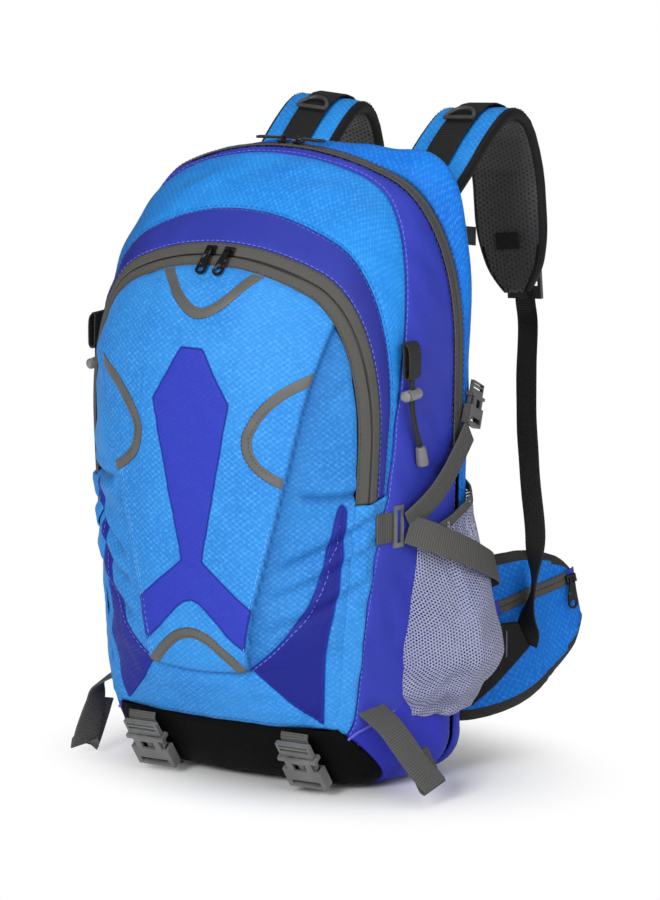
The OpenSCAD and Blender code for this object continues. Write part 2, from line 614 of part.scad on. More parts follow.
// Harness
module shoulder_pads() {
    n = len(pad_route) - 1;
    widths = [for (i = [0 : n]) pad_w * mix(0.92, 1, ease(i / n * 4))
        * mix(1, 0.46, pow(max(0, i / n - 0.8) / 0.2, 1.3))];
    thicks = [for (i = [0 : n]) pad_t * (i == n ? 0.6 : 1)];
    color(DARK) both_sides() padded_strip(pad_route, same([1, 0, 0.06], pad_route), widths, thicks);
}
strap_lift = pad_t / 2 + webbing_t / 2 + 0.7;
function lifted(i, out) = pad_route[i] + unit(cross([1, 0, 0.06], tangent(pad_route, i))) * out;
module shoulder_webbing() {
    route = [for (i = [1 : 17]) lifted(i, strap_lift)];
    color(DARK) both_sides() ribbon(route, same([1, 0, 0.06], route), webbing + 2, webbing_t);
}
ring_i = 10;
ring_at = lifted(ring_i, strap_lift + 3.2);
module d_ring(side) {
    t = tangent(pad_route, ring_i);
    n = unit(cross([1, 0, 0.06], t));
    color(DARK) mirror([side < 0 ? 1 : 0, 0, 0]) at(ring_at, [1, 0, 0.06], n) {
        rotate([0, 90, 0]) translate([0, 0, -14]) cylinder(r = 1.8, h = 28);
        rotate_extrude(angle = 180) translate([13, 0]) circle(1.8);
    }
}
module ladder_locks() {
    color(DARK) both_sides() at(pad_end + [0.4, 11.5, 6], [1, 0, 0.06], [0, 1, 0.02]) difference() {
        translate([-16, -15, -2]) cube([32, 28, 4]);
        translate([-13.2, -11, -5]) cube([26.4, 4.4, 10]);
        translate([-13.2, -2, -5]) cube([26.4, 4.4, 10]);
    }
}
sternum_z = 406;
sternum_y = back_y + 172;
module sternum_straps() {
    color(GREY) {
        translate([15.3, sternum_y - 1, sternum_z - 8]) cube([31, webbing_t, 16]);
        translate([-46.3, sternum_y - 1, sternum_z - 8]) cube([30.6, webbing_t, 16]);
    }
}
module at_sternum() {
    at([-8, sternum_y, sternum_z], [0, 0, 1], [0, 1, 0]) scale(0.62) children();
}
module sternum_socket() {
    color(DARK) at_sternum() mirror([0, 1, 0]) translate([0, 10, -2]) buckle_socket();
}
module sternum_plug() {
    color(DARK) at_sternum() mirror([0, 1, 0]) translate([0, 10, -2]) buckle_plug();
}

// Hip belt
wing_route = curve([[92, back_y + 14, 96], [120, back_y + 18, 98], [146, back_y + 34, 105],
    [163, back_y + 56, 115], [176, back_y + 80, 122], [183, back_y + 98, 127]], 3);
module hip_wing(side) {
    n = len(wing_route) - 1;
    widths = [for (i = [0 : n]) mix(138, 62, pow(i / n, 3)) * (i == n ? 0.85 : 1)];
    thicks = [for (i = [0 : n]) wing_t * (i == 0 || i == n ? 0.7 : 1)];
    color(SKY) mirror([side < 0 ? 1 : 0, 0, 0])
        padded_strip(wing_route, same([0, 0, 1], wing_route), widths, thicks);
}
wing_mid = wing_route[13];
wing_dir = unit(wing_route[14] - wing_route[8]);
wing_out = unit(cross(wing_dir, [0, 0, 1]));
module hip_slider(side) {
    color(DARK) mirror([side < 0 ? 1 : 0, 0, 0])
        at(wing_mid + wing_out * (wing_t / 2 + 1.6) + [0, 0, 20], wing_dir, wing_out) {
            translate([-4.5, -3.5, -0.5]) cube([9, 7, 3]);
            rotate([0, 0, -102]) translate([0, 0, 2.6]) zip_pull();
        }
}
module hip_webbing(side) {
    end = wing_route[14] - wing_out * (wing_t / 2 + 3);
    inner = curve([end, mix(end, hip_buckle, 0.5) - wing_out * 2, hip_buckle + wing_dir * 7], 3);
    color(BLACK) mirror([side < 0 ? 1 : 0, 0, 0]) ribbon(inner, same([0, 0, 1], inner), webbing, webbing_t);
}
hip_buckle = wing_route[10] - wing_out * (wing_t / 2 + 19);
module at_hip_buckle(side) {
    mirror([side < 0 ? 1 : 0, 0, 0])
        at(hip_buckle, [0, 0, 1], -wing_out) scale(1.15) children();
}
module hip_socket() {
    color(DARK) at_hip_buckle(-1) translate([0, -45.5, 0]) mirror([0, 1, 0]) buckle_socket();
}
module hip_plug() {
    color(DARK) at_hip_buckle(1) buckle_plug();
}

back_panel();
back_pads();
frame_sheet();
back_gusset();
base_panel();
inner_sleeve();
rear_zip_tape();
mesh_pockets();
compression_straps();
compression_buckles();
haul_loop();
strap_anchors();
lower_webbing();
base_straps();
base_sockets();
base_tabs();
main_gusset();
front_band();
pocket_gusset();
lower_front();
pocket_divider();
front_zip_tape();
pocket_zip_tape();
pole_loops();
pole_tabs();
strap_tabs();
strap_rings();
pole_cords();
cord_ends();
cord_locks();
cord_button(-1);  // cord_button_left
cord_button(1);  // cord_button_right
base_plug(-1);  // base_plug_left
base_plug(1);  // base_plug_right
pocket_flap();
flap_zip_tape();
main_slider(-1);  // main_slider_left
main_slider(1);  // main_slider_right
main_pull(-1);  // main_pull_left
main_pull(1);  // main_pull_right
pocket_slider(-1);  // pocket_slider_left
pocket_slider(1);  // pocket_slider_right
pocket_pull(-1);  // pocket_pull_left
pocket_pull(1);  // pocket_pull_right
shoulder_pads();
shoulder_webbing();
d_ring(-1);  // d_ring_left
d_ring(1);  // d_ring_right
ladder_locks();
sternum_straps();
sternum_socket();
sternum_plug();
hip_wing(-1);  // hip_wing_left
hip_wing(1);  // hip_wing_right
hip_slider(-1);  // hip_slider_left
hip_slider(1);  // hip_slider_right
hip_webbing(-1);  // hip_webbing_left
hip_webbing(1);  // hip_webbing_right
hip_socket();
hip_plug();
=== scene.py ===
"""Looks of a hiking daypack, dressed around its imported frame. Lengths are millimetres until a mesh is made."""

import json
import math

import bpy
import numpy as np
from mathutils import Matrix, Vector

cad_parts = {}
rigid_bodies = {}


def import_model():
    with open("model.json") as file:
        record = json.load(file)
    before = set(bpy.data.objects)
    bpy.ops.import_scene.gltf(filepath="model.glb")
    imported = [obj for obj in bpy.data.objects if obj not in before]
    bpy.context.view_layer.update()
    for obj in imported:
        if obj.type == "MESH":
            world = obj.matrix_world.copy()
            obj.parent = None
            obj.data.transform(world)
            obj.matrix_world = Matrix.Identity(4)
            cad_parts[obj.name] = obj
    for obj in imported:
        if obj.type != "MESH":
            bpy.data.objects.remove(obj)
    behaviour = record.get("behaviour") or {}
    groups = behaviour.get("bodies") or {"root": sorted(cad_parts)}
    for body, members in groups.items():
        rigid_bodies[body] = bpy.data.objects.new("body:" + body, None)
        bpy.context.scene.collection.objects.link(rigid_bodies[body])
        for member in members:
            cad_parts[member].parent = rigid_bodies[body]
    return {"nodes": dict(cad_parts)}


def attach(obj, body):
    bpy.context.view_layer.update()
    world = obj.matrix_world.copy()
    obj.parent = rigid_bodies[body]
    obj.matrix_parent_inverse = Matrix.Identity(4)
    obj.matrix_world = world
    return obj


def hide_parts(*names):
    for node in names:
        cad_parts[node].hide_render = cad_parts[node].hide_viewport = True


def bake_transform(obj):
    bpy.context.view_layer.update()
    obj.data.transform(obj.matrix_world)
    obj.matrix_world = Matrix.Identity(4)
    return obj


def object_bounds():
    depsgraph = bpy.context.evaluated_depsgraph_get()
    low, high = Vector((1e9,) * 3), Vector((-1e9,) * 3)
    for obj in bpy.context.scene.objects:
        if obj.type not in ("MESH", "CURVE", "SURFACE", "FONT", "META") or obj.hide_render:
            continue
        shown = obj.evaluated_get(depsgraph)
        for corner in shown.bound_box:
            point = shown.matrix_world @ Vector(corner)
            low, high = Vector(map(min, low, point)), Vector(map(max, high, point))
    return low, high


for old in list(bpy.data.objects):
    bpy.data.objects.remove(old, do_unlink=True)
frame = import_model()
cad_box = [list(c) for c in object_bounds()]
NODES = frame["nodes"]
scene = bpy.context.scene
scene.view_settings.view_transform = "Standard"

# The bag's form, as in the part's source
BAG_H, HALF_W, ZIP_Y, BACK_Y, TURN_BACK, CORNER_R = 506.0, 149.0, 34.0, 88.0, 15.0, 35.0
POCKET_HALF, POCKET_TOP, POCKET_Y, POCKET_SWELL = 131.0, 430.0, -71.0, 40.0
BASE_SEAM, BASE_RISE, WEBBING, WEBBING_T, PAD_T, WING_T = 54.0, 44.0, 25.0, 1.8, 14.0, 14.0
CROWN_END, ARCH_END, CORNER_START, ZIP_END = 0.175, 0.385, 0.912, 0.52
BASE_FRONT, BAND_FRONT, TAPE_SHARE, TAPE_D = 0.45, 0.84, 0.055, 8.0
CROWN_K, DROP_K, TURN = 1.515, 1.03, math.radians(25)
DEPTH = ZIP_Y - POCKET_Y
# The camera: degrees round and up, metres away, its target and its lens
CAMERA_TURN, CAMERA_RISE, CAMERA_AWAY, CAMERA_LENS = 30.81, 10.93, 4.089, 201.6
CAMERA_TARGET = (0.0353, 0.0392, 0.2583)
# The two sides of the bag: a word for names, the sign of x, and what mirrors points
SIDES = [(word, sign, np.array([sign, 1, 1])) for word, sign in (("right", 1.0), ("left", -1.0))]


def mix(a, b, k):
    return a + (b - a) * k


def ease(k):
    c = np.clip(k, 0, 1)
    return c * c * (3 - 2 * c)


def arr(*parts):
    return np.stack(np.broadcast_arrays(*[np.asarray(p, float) for p in parts]), -1)


def unit(v):
    v = np.asarray(v, float)
    return v / np.maximum(np.linalg.norm(v, axis=-1, keepdims=True), 1e-9)


def width_at(t):
    return mix(HALF_W, POCKET_HALF, np.maximum(0, t) ** 1.8)


def top_at(t):
    return mix(BAG_H, POCKET_TOP, np.maximum(0, t) ** 1.65)


def floor_at(t):
    return BASE_RISE * np.maximum(0, (np.asarray(t) - 0.55) / 0.45) ** 2


def depth_at(t):
    return mix(ZIP_Y, POCKET_Y, t)


def seam_at(t):
    return BASE_SEAM * np.maximum(0, (np.asarray(t) - BASE_FRONT) / (1 - BASE_FRONT))


def mid_at(t):
    return top_at(t) - DROP_K * width_at(t)


def taper(t, z, mid):
    return 1 - (0.04 + 0.16 * np.clip(t, 0, 1)) * np.maximum(0, 1 - z / mid) ** 1.4


def set_back(x, t):
    return TURN_BACK * (x / width_at(t)) ** 2


def outline(u, w, top, low, r):
    u, w, top, low = np.broadcast_arrays(*[np.asarray(q, float) for q in (u, w, top, low)])
    v, s = np.abs(u), np.where(u < 0, -1.0, 1.0)
    a = TURN * np.clip(v / CROWN_END, 0, 1)
    x, z = w * CROWN_K * np.sin(a), top - w * CROWN_K * (1 - np.cos(a))
    k = np.clip((v - CROWN_END) / (ARCH_END - CROWN_END), 0, 1)
    p = np.array([[CROWN_K * math.sin(TURN), -CROWN_K * (1 - math.cos(TURN))], [0, 0], [1, -DROP_K + 0.45],
                  [1, -DROP_K]])
    p[1] = p[0] + 0.245 * np.array([math.cos(TURN), -math.sin(TURN)])
    e = 1 - k
    for i, (c, q) in enumerate(((e ** 3, p[0]), (3 * e * e * k, p[1]), (3 * e * k * k, p[2]), (k ** 3, p[3]))):
        bx, bz = (c * q[0], c * q[1]) if i == 0 else (bx + c * q[0], bz + c * q[1])
    x, z = np.where(v > CROWN_END, w * bx, x), np.where(v > CROWN_END, top + w * bz, z)
    m = np.clip((v - ARCH_END) / (CORNER_START - ARCH_END), 0, 1)
    x, z = np.where(v > ARCH_END, w, x), np.where(v > ARCH_END, mix(top - DROP_K * w, low + r, m), z)
    c = np.pi / 2 * np.clip((v - CORNER_START) / (1 - CORNER_START), 0, 1)
    x = np.where(v > CORNER_START, w - r + r * np.cos(c), x)
    z = np.where(v > CORNER_START, low + r - r * np.sin(c), z)
    return s * x, z


def bag_point(u, t, inset=0.0):
    x, z = outline(u, width_at(t) - inset, top_at(t) - inset, floor_at(t) + inset, CORNER_R - inset)
    x = x * taper(t, z, mid_at(t))
    return arr(x, depth_at(t) + set_back(x, t), z)


def seam_run(t):
    z, low, mid = seam_at(t), floor_at(t), mid_at(t)
    high = mix(ARCH_END, CORNER_START, (mid - z) / (mid - low - CORNER_R))
    a = np.degrees(np.arcsin(np.clip((low + CORNER_R - z) / CORNER_R, 0, 1)))
    return np.where(z >= low + CORNER_R, high, np.where(z <= low, 1.0, mix(CORNER_START, 1, a / 90)))


def run_at(v, t):
    return np.where(v <= ZIP_END, v, mix(ZIP_END, seam_run(t), (v - ZIP_END) / (1 - ZIP_END)))


def rear_edge(v):
    return mix(TAPE_SHARE, 0.004, ease((v - ZIP_END) / 0.03))


def gusset_edge(v):
    high = mix(0.17, BAND_FRONT - 0.064, ease((v - 0.13) / 0.3)) + 0.04 * ease((v - 0.44) / 0.08)
    return np.where(v <= ZIP_END, high, mix(BAND_FRONT - 0.024, 0.951,
                                            1 - (1 - np.clip((v - ZIP_END) / 0.3, 0, 1)) ** 2))


def band_edge(v):
    return np.where(v <= ZIP_END, mix(0.70, BAND_FRONT, ease(v / ZIP_END)), gusset_edge(v) + 0.024)


def side_point(t, z, out):
    x = width_at(t) * taper(t, z, mid_at(t))
    return arr(x + out, depth_at(t) + set_back(x, t), z)


def rear_bulge(u):
    a = np.abs(u)
    return mix(0.12, 1, ease((u + 0.1) / 0.2)) * (22 * np.exp(-((a - 0.2) / 0.085) ** 2)
                                                  + 4 * (1 - ease((a - 0.3) / 0.15)))


def side_x(y, z):
    """Half the bag's width at a depth and height, below its arch."""
    sb = 13.0
    for _ in range(3):
        t = np.clip((ZIP_Y + sb - y) / DEPTH, 0, 1)
        x = width_at(t) * taper(t, z, mid_at(t))
        sb = set_back(x, t)
    k = np.clip((y - ZIP_Y - 6.5 - sb) / (BACK_Y - 12.5 - ZIP_Y - sb), 0, 1)
    return np.where(k > 0, (HALF_W - 26 * (1 - np.sqrt(1 - 0.96 * k * k))) * taper(0.0, z, mid_at(0.0)), x)


POCKET_MID = mid_at(1.0)


def face_y(x, z):
    a = np.abs(x) / POCKET_HALF / taper(1.0, z, POCKET_MID)
    b = np.maximum(0, z - POCKET_MID) / (DROP_K * POCKET_HALF)
    share = np.minimum(1, (a ** 2.5 + b ** 2.5) ** 0.4)
    low = 1 - 0.85 * np.clip(1 - (z - BASE_SEAM) / 85, 0, None) ** 1.6
    return POCKET_Y + set_back(x, 1.0) - POCKET_SWELL * (1 - share ** 3.2) * low


FOLD_Z = float(outline(ZIP_END, POCKET_HALF, POCKET_TOP, BASE_RISE, CORNER_R)[1])


def curve(points, steps):
    p = np.asarray(points, float)
    n, rows = len(p) - 1, []
    for i in range(n):
        a, b, c, d = p[max(0, i - 1)], p[i], p[i + 1], p[min(n, i + 2)]
        for k in np.arange(steps) / steps:
            rows.append(0.5 * (2 * b + (c - a) * k + (2 * a - 5 * b + 4 * c - d) * k * k
                               + (3 * b - a - 3 * c + d) * k ** 3))
    return np.array(rows + [p[n]])


def resample(line, step):
    d = np.concatenate([[0], np.cumsum(np.linalg.norm(np.diff(line, axis=0), axis=1))])
    s = np.linspace(0, d[-1], max(3, int(round(d[-1] / step)) + 1))
    return np.stack([np.interp(s, d, line[:, i]) for i in range(line.shape[1])], -1)


# Relief helpers
def waves(p, seed, count, low, high, sharp=1.0):
    """A seeded field of soft folds over points, about -1 to 1, with wavelengths from low to high."""
    r = np.random.default_rng(seed)
    total = np.zeros(p.shape[:-1])
    for _ in range(count):
        d = unit(r.normal(size=3)) * 2 * np.pi / r.uniform(low, high)
        bend = unit(r.normal(size=3)) * 2 * np.pi / r.uniform(2 * low, 3 * high)
        total += np.sign(s := np.sin(p @ d + r.uniform(0, 6.3)
                                     + 1.3 * np.sin(p @ bend + r.uniform(0, 6.3)))) * np.abs(s) ** sharp
    return total / count ** 0.5


def sdf(poly, x, z):
    """Distance to a closed polygon's edge over x and z, more than 0 inside."""
    p = np.asarray(poly, float)
    best, inside = np.full(x.shape, 1e9), np.zeros(x.shape, bool)
    for a, b in zip(p, np.roll(p, -1, axis=0)):
        e = b - a
        k = np.clip(((x - a[0]) * e[0] + (z - a[1]) * e[1]) / (e @ e), 0, 1)
        best = np.minimum(best, (x - a[0] - k * e[0]) ** 2 + (z - a[1] - k * e[1]) ** 2)
        cross = (a[1] > z) != (b[1] > z)
        if abs(e[1]) > 1e-9:
            inside ^= cross & (x < a[0] + (z - a[1]) / e[1] * e[0])
    return np.sqrt(best) * np.where(inside, 1, -1)


def line_distance(line, x, z):
    p = np.asarray(line, float)
    best = np.full(x.shape, 1e9)
    for a, b in zip(p[:-1], p[1:]):
        e = b - a
        k = np.clip(((x - a[0]) * e[0] + (z - a[1]) * e[1]) / (e @ e), 0, 1)
        best = np.minimum(best, (x - a[0] - k * e[0]) ** 2 + (z - a[1] - k * e[1]) ** 2)
    return np.sqrt(best)


def spans(p, axis):
    d = np.linalg.norm(np.diff(p, axis=axis), axis=2)
    zero = np.zeros((1, p.shape[1])) if axis == 0 else np.zeros((p.shape[0], 1))
    return np.concatenate([zero, np.cumsum(d, axis=axis)], axis=axis)


def normals(p):
    return unit(np.cross(np.gradient(p, axis=0), np.gradient(p, axis=1)))


# Materials
class Paint:
    """A material being built from nodes."""

    def __init__(self, name):
        self.material = bpy.data.materials.new(name)
        self.material.use_nodes = True
        self.tree = self.material.node_tree
        self.tree.nodes.clear()
        self.end = self.tree.nodes.new("ShaderNodeOutputMaterial")

    def node(self, kind, ins=(), out=0, **props):
        n = self.tree.nodes.new(kind)
        for key, value in props.items():
            setattr(n, key, value)
        for key, value in dict(ins).items():
            if isinstance(value, bpy.types.NodeSocket):
                self.tree.links.new(value, n.inputs[key])
            else:
                n.inputs[key].default_value = value
        return n.outputs[out]

    def math(self, op, a, b=0.0, c=0.0):
        return self.node("ShaderNodeMath", {0: a, 1: b, 2: c}, operation=op)

    def map(self, value, low, high, to_low=0.0, to_high=1.0, smooth=True):
        return self.node("ShaderNodeMapRange", {0: value, 1: low, 2: high, 3: to_low, 4: to_high},
                         interpolation_type="SMOOTHSTEP" if smooth else "LINEAR")

    def mix(self, share, a, b):
        return self.node("ShaderNodeMix", {0: share, 6: a, 7: b}, out=2, data_type="RGBA")

    def uv(self):
        s = self.node("ShaderNodeSeparateXYZ", {0: self.node("ShaderNodeTexCoord", out="UV")}).node
        return s.outputs[0], s.outputs[1]

    def place(self):
        return self.node("ShaderNodeTexCoord", out="Object")

    def noise(self, scale, detail=2.0, vector=None):
        return self.node("ShaderNodeTexNoise",
                         {"Vector": vector or self.place(), "Scale": scale, "Detail": detail})

    def mark(self, name):
        return self.node("ShaderNodeAttribute", out="Fac", attribute_name=name)

    def wave(self, value, pitch, shift=0.0):
        return self.math("SINE", self.math("MULTIPLY_ADD", value, 2 * math.pi / pitch, shift))

    def bump(self, height, distance, strength=1.0):
        return self.node("ShaderNodeBump", {"Height": height, "Distance": distance, "Strength": strength})

    def finish(self, colour, rough, normal=None, alpha=None, **fixed):
        ins = {"Base Color": colour, "Roughness": rough}
        if normal is not None:
            ins["Normal"] = normal
        ins.update(fixed)
        shader = self.node("ShaderNodeBsdfPrincipled", ins)
        if alpha is not None:
            shader = self.node("ShaderNodeMixShader",
                               {0: alpha, 1: self.node("ShaderNodeBsdfTransparent"), 2: shader})
        self.tree.links.new(shader, self.end.inputs["Surface"])
        return self.material


def tint(c, k):
    return tuple(min(1.0, x * k) for x in c[:3]) + (1.0,)


# Tones of the light blue ripstop. The first set is a lit copy for the front, lighter and with painted sheen.
LIT_SKY, LIT_SKY_LIGHT, LIT_SKY_DEEP = (0.028, 0.228, 0.61, 1), (0.058, 0.300, 0.69, 1), (0.018, 0.180, 0.54, 1)
BAND, BAND_LIGHT, BAND_DEEP = (0.014, 0.220, 0.64, 1), (0.034, 0.285, 0.73, 1), (0.009, 0.175, 0.57, 1)
# A shaded copy of the same ripstop, darker, for the rear gusset and hip wings.
SHADED_SKY, SHADED_SKY_LIGHT, SHADED_SKY_DARK = (0.004, 0.155, 0.61, 1), (0.015, 0.220, 0.69, 1), (0.002, 0.118, 0.53, 1)
ROYAL, ROYAL_DEEP = (0.030, 0.046, 0.44, 1), (0.020, 0.031, 0.34, 1)
COATED = (0.018, 0.026, 0.42, 1)


def ripstop(b, u, v):
    """Small raised cells in offset rows, from 0 between them to 1 on them."""
    return b.map(b.math("MULTIPLY", b.wave(u, 0.0062), b.wave(v, 0.0047)), -0.8, 0.9)


def panel_cloth(name, blocks=(), tones=(BAND, BAND_LIGHT, BAND_DEEP)):
    """Light blue ripstop, with royal plain weave where a mark says so, and painted shade where the shade mark
    says so.
    """
    b = Paint(name)
    plain, pale, deep = tones
    u, v = b.uv()
    cell = ripstop(b, u, v)
    grain = b.noise(900.0, 3.0)
    cloud = b.noise(14.0, 3.0)
    patch = b.noise(290.0, 2.0)
    light = b.math("MULTIPLY", b.map(cell, -0.35, 1.0),
                   b.map(b.math("MULTIPLY_ADD", patch, 1.0, grain), 0.65, 1.4))
    sky = b.mix(b.map(light, 0.05, 0.9), b.mix(b.map(cloud, 0.3, 0.7), deep, plain), pale)
    colour, height = sky, b.math("MULTIPLY_ADD", cell, 0.7,
                                 b.math("MULTIPLY_ADD", patch, 0.5, b.math("MULTIPLY", grain, 0.3)))
    rough = b.map(cell, 0.0, 1.0, 0.68, 0.54)
    if blocks:
        weave = b.math("MULTIPLY_ADD", b.wave(v, 0.0013), 0.2,
                       b.math("MULTIPLY_ADD", patch, 0.4, b.math("MULTIPLY", grain, 0.7)))
        royal = b.mix(b.map(weave, 0.25, 0.9), ROYAL_DEEP, ROYAL)
        inside = b.map(b.mark("royal"), -0.2, 0.2)
        colour = b.mix(inside, sky, royal)
        height = b.node("ShaderNodeMix", {0: inside, 2: height, 3: b.math("MULTIPLY", weave, 0.35)})
        seam = b.map(b.math("ABSOLUTE", b.mark("royal")), 0.2, 1.3)
        colour = b.mix(seam, b.mix(inside, (0.004, 0.05, 0.34, 1), (0.010, 0.012, 0.16, 1)), colour)
        # painted shade: darker sky or darker royal where the shade mark is high
        colour = b.mix(b.mark("shade"), colour, b.mix(inside, (0.002, 0.022, 0.13, 1), (0.004, 0.006, 0.13, 1)))
    return b.finish(colour, rough, b.bump(height, 0.0003, 0.6), **{"Specular IOR Level": 0.18})


def plain_cloth(name, colour, deep, pitch=0.0013, rough=(0.5, 0.66), coating_and_shade=None, gloss=0.3):
    b = Paint(name)
    u, v = b.uv()
    grain = b.noise(800.0, 3.0)
    cloud = b.noise(12.0, 3.0)
    weave = b.math("MULTIPLY_ADD", b.wave(v, pitch), 0.45, b.math("MULTIPLY", b.wave(u, pitch * 1.1), 0.25))
    weave = b.math("ADD", weave, b.math("MULTIPLY_ADD", grain, 0.8, b.math("MULTIPLY", cloud, 0.5)))
    mixed = b.mix(b.map(weave, 0.0, 1.35), deep, colour)
    # The mark mixes towards the given colour: real coated cloth below the side's piping, and painted shade on
    # the pocket's arch.
    if coating_and_shade:
        below = b.map(b.mark("coating_and_shade"), -0.2, 0.2)
        mixed = b.mix(below, mixed, coating_and_shade)
    return b.finish(mixed, b.map(grain, 0.3, 0.7, *rough), b.bump(weave, 0.00025, 0.6),
                    **{"Specular IOR Level": gloss})


def webbing_cloth(name, colour, rib=0.0021):
    """Ribs across a strap: u runs across it and v along it."""
    b = Paint(name)
    u, v = b.uv()
    ribs = b.wave(v, rib)
    yarn = b.wave(b.math("ADD", u, b.math("MULTIPLY", ribs, 0.0003)), 0.0012)
    grain = b.noise(1100.0, 2.0)
    height = b.math("MULTIPLY_ADD", ribs, 0.6,
                    b.math("MULTIPLY_ADD", yarn, 0.3, b.math("MULTIPLY", grain, 0.5)))
    shade = b.mix(b.map(height, -0.7, 1.0), tint(colour, 0.7), tint(colour, 1.2))
    return b.finish(shade, b.map(grain, 0.3, 0.7, 0.6, 0.8), b.bump(height, 0.0003, 0.7),
                    **{"Specular IOR Level": 0.25})


def tape_cloth(name, colour):
    b = Paint(name)
    u, v = b.uv()
    twill = b.wave(b.math("ADD", u, v), 0.0017)
    grain = b.noise(1200.0, 2.0)
    height = b.math("MULTIPLY_ADD", twill, 0.5, grain)
    shade = b.mix(b.map(height, -0.2, 1.1), tint(colour, 0.62), tint(colour, 1.2))
    return b.finish(shade, b.map(grain, 0.3, 0.7, 0.66, 0.82), b.bump(height, 0.00025, 0.7),
                    **{"Specular IOR Level": 0.25})


def hexes(b, pitch):
    u, v = b.uv()
    k = 4 * math.pi / (math.sqrt(3) * pitch)
    rows = []
    for a in (0, 60, 120):
        c, s = math.cos(math.radians(a)) * k, math.sin(math.radians(a)) * k
        rows.append(b.math("COSINE", b.math("MULTIPLY_ADD", u, c, b.math("MULTIPLY", v, s))))
    return b.math("ADD", rows[0], b.math("ADD", rows[1], rows[2]))


def spacer_mesh(name, colour, pitch=0.0042):
    b = Paint(name)
    h = hexes(b, pitch)
    grain = b.noise(1000.0, 2.0)
    # The hex pattern is the mesh's own; its dark holes are painted shade, and its grey threads and specks are
    # painted highlight on the black mesh.
    hole = b.map(h, 0.4, 2.0)
    shade = b.mix(hole, tint(colour, 4.2), tint(colour, 0.15))
    shade = b.mix(b.map(grain, 0.3, 0.8, 0.0, 0.35), shade, tint(colour, 2.4))
    height = b.math("SUBTRACT", b.math("MULTIPLY", grain, 0.3), hole)
    return b.finish(shade, b.map(h, -1.5, 3.0, 0.4, 0.8), b.bump(height, 0.0011, 0.95),
                    **{"Specular IOR Level": 0.75})


def open_net(name, colour, pitch=0.0027):
    b = Paint(name)
    h = hexes(b, pitch)
    grain = b.noise(900.0, 2.0)
    patch = b.noise(38.0, 2.0)
    solid = b.map(b.math("MULTIPLY_ADD", patch, 2.4, h), 2.8, 2.2)
    shade = b.mix(b.map(b.math("ADD", grain, b.math("MULTIPLY", h, -0.2)), 0.2, 0.95), tint(colour, 0.6),
                  tint(colour, 1.35))
    return b.finish(shade, b.map(grain, 0.3, 0.7, 0.5, 0.7), b.bump(h, 0.0003, 0.5), alpha=solid,
                    **{"Sheen Weight": 0.2})


def plastic(name, colour, rough=(0.34, 0.5)):
    b = Paint(name)
    grain = b.noise(1400.0, 2.0)
    worn = b.noise(60.0, 3.0)
    shade = b.mix(b.map(worn, 0.35, 0.75), tint(colour, 0.85), tint(colour, 1.15))
    return b.finish(shade, b.map(b.math("ADD", grain, worn), 0.7, 1.3, *rough), b.bump(grain, 0.00006, 0.5))


def metal(name, colour):
    b = Paint(name)
    grain = b.noise(700.0, 3.0)
    worn = b.map(b.noise(160.0, 4.0), 0.58, 0.72)
    shade = b.mix(worn, colour, (0.12, 0.12, 0.125, 1))
    return b.finish(shade, b.map(grain, 0.3, 0.7, 0.24, 0.4), b.bump(grain, 0.00004, 0.5), **{"Metallic": 0.6})


def glass_bead(name, colour):
    b = Paint(name)
    grain = b.noise(1500.0, 2.0)
    cloud = b.noise(25.0, 2.0)
    shade = b.mix(b.map(b.math("ADD", grain, cloud), 0.7, 1.3), tint(colour, 0.82), tint(colour, 1.15))
    return b.finish(shade, b.map(grain, 0.3, 0.7, 0.42, 0.6), b.bump(grain, 0.0001, 0.5),
                    **{"Specular IOR Level": 0.6})


def thread(name, colour):
    b = Paint(name)
    grain = b.noise(2500.0, 2.0)
    return b.finish(b.mix(grain, tint(colour, 0.75), tint(colour, 1.2)), b.map(grain, 0.3, 0.7, 0.5, 0.7),
                    b.bump(grain, 0.0001, 0.5))


def braid(name, colour):
    b = Paint(name)
    u, v = b.uv()
    a = b.wave(b.math("ADD", u, v), 0.0022)
    c = b.wave(b.math("SUBTRACT", v, u), 0.0022)
    h = b.math("MAXIMUM", a, c)
    return b.finish(b.mix(b.map(h, -0.3, 1.0), tint(colour, 0.4), tint(colour, 1.6)),
                    b.map(h, -0.5, 1.0, 0.75, 0.5),
                    b.bump(h, 0.0003, 0.8))


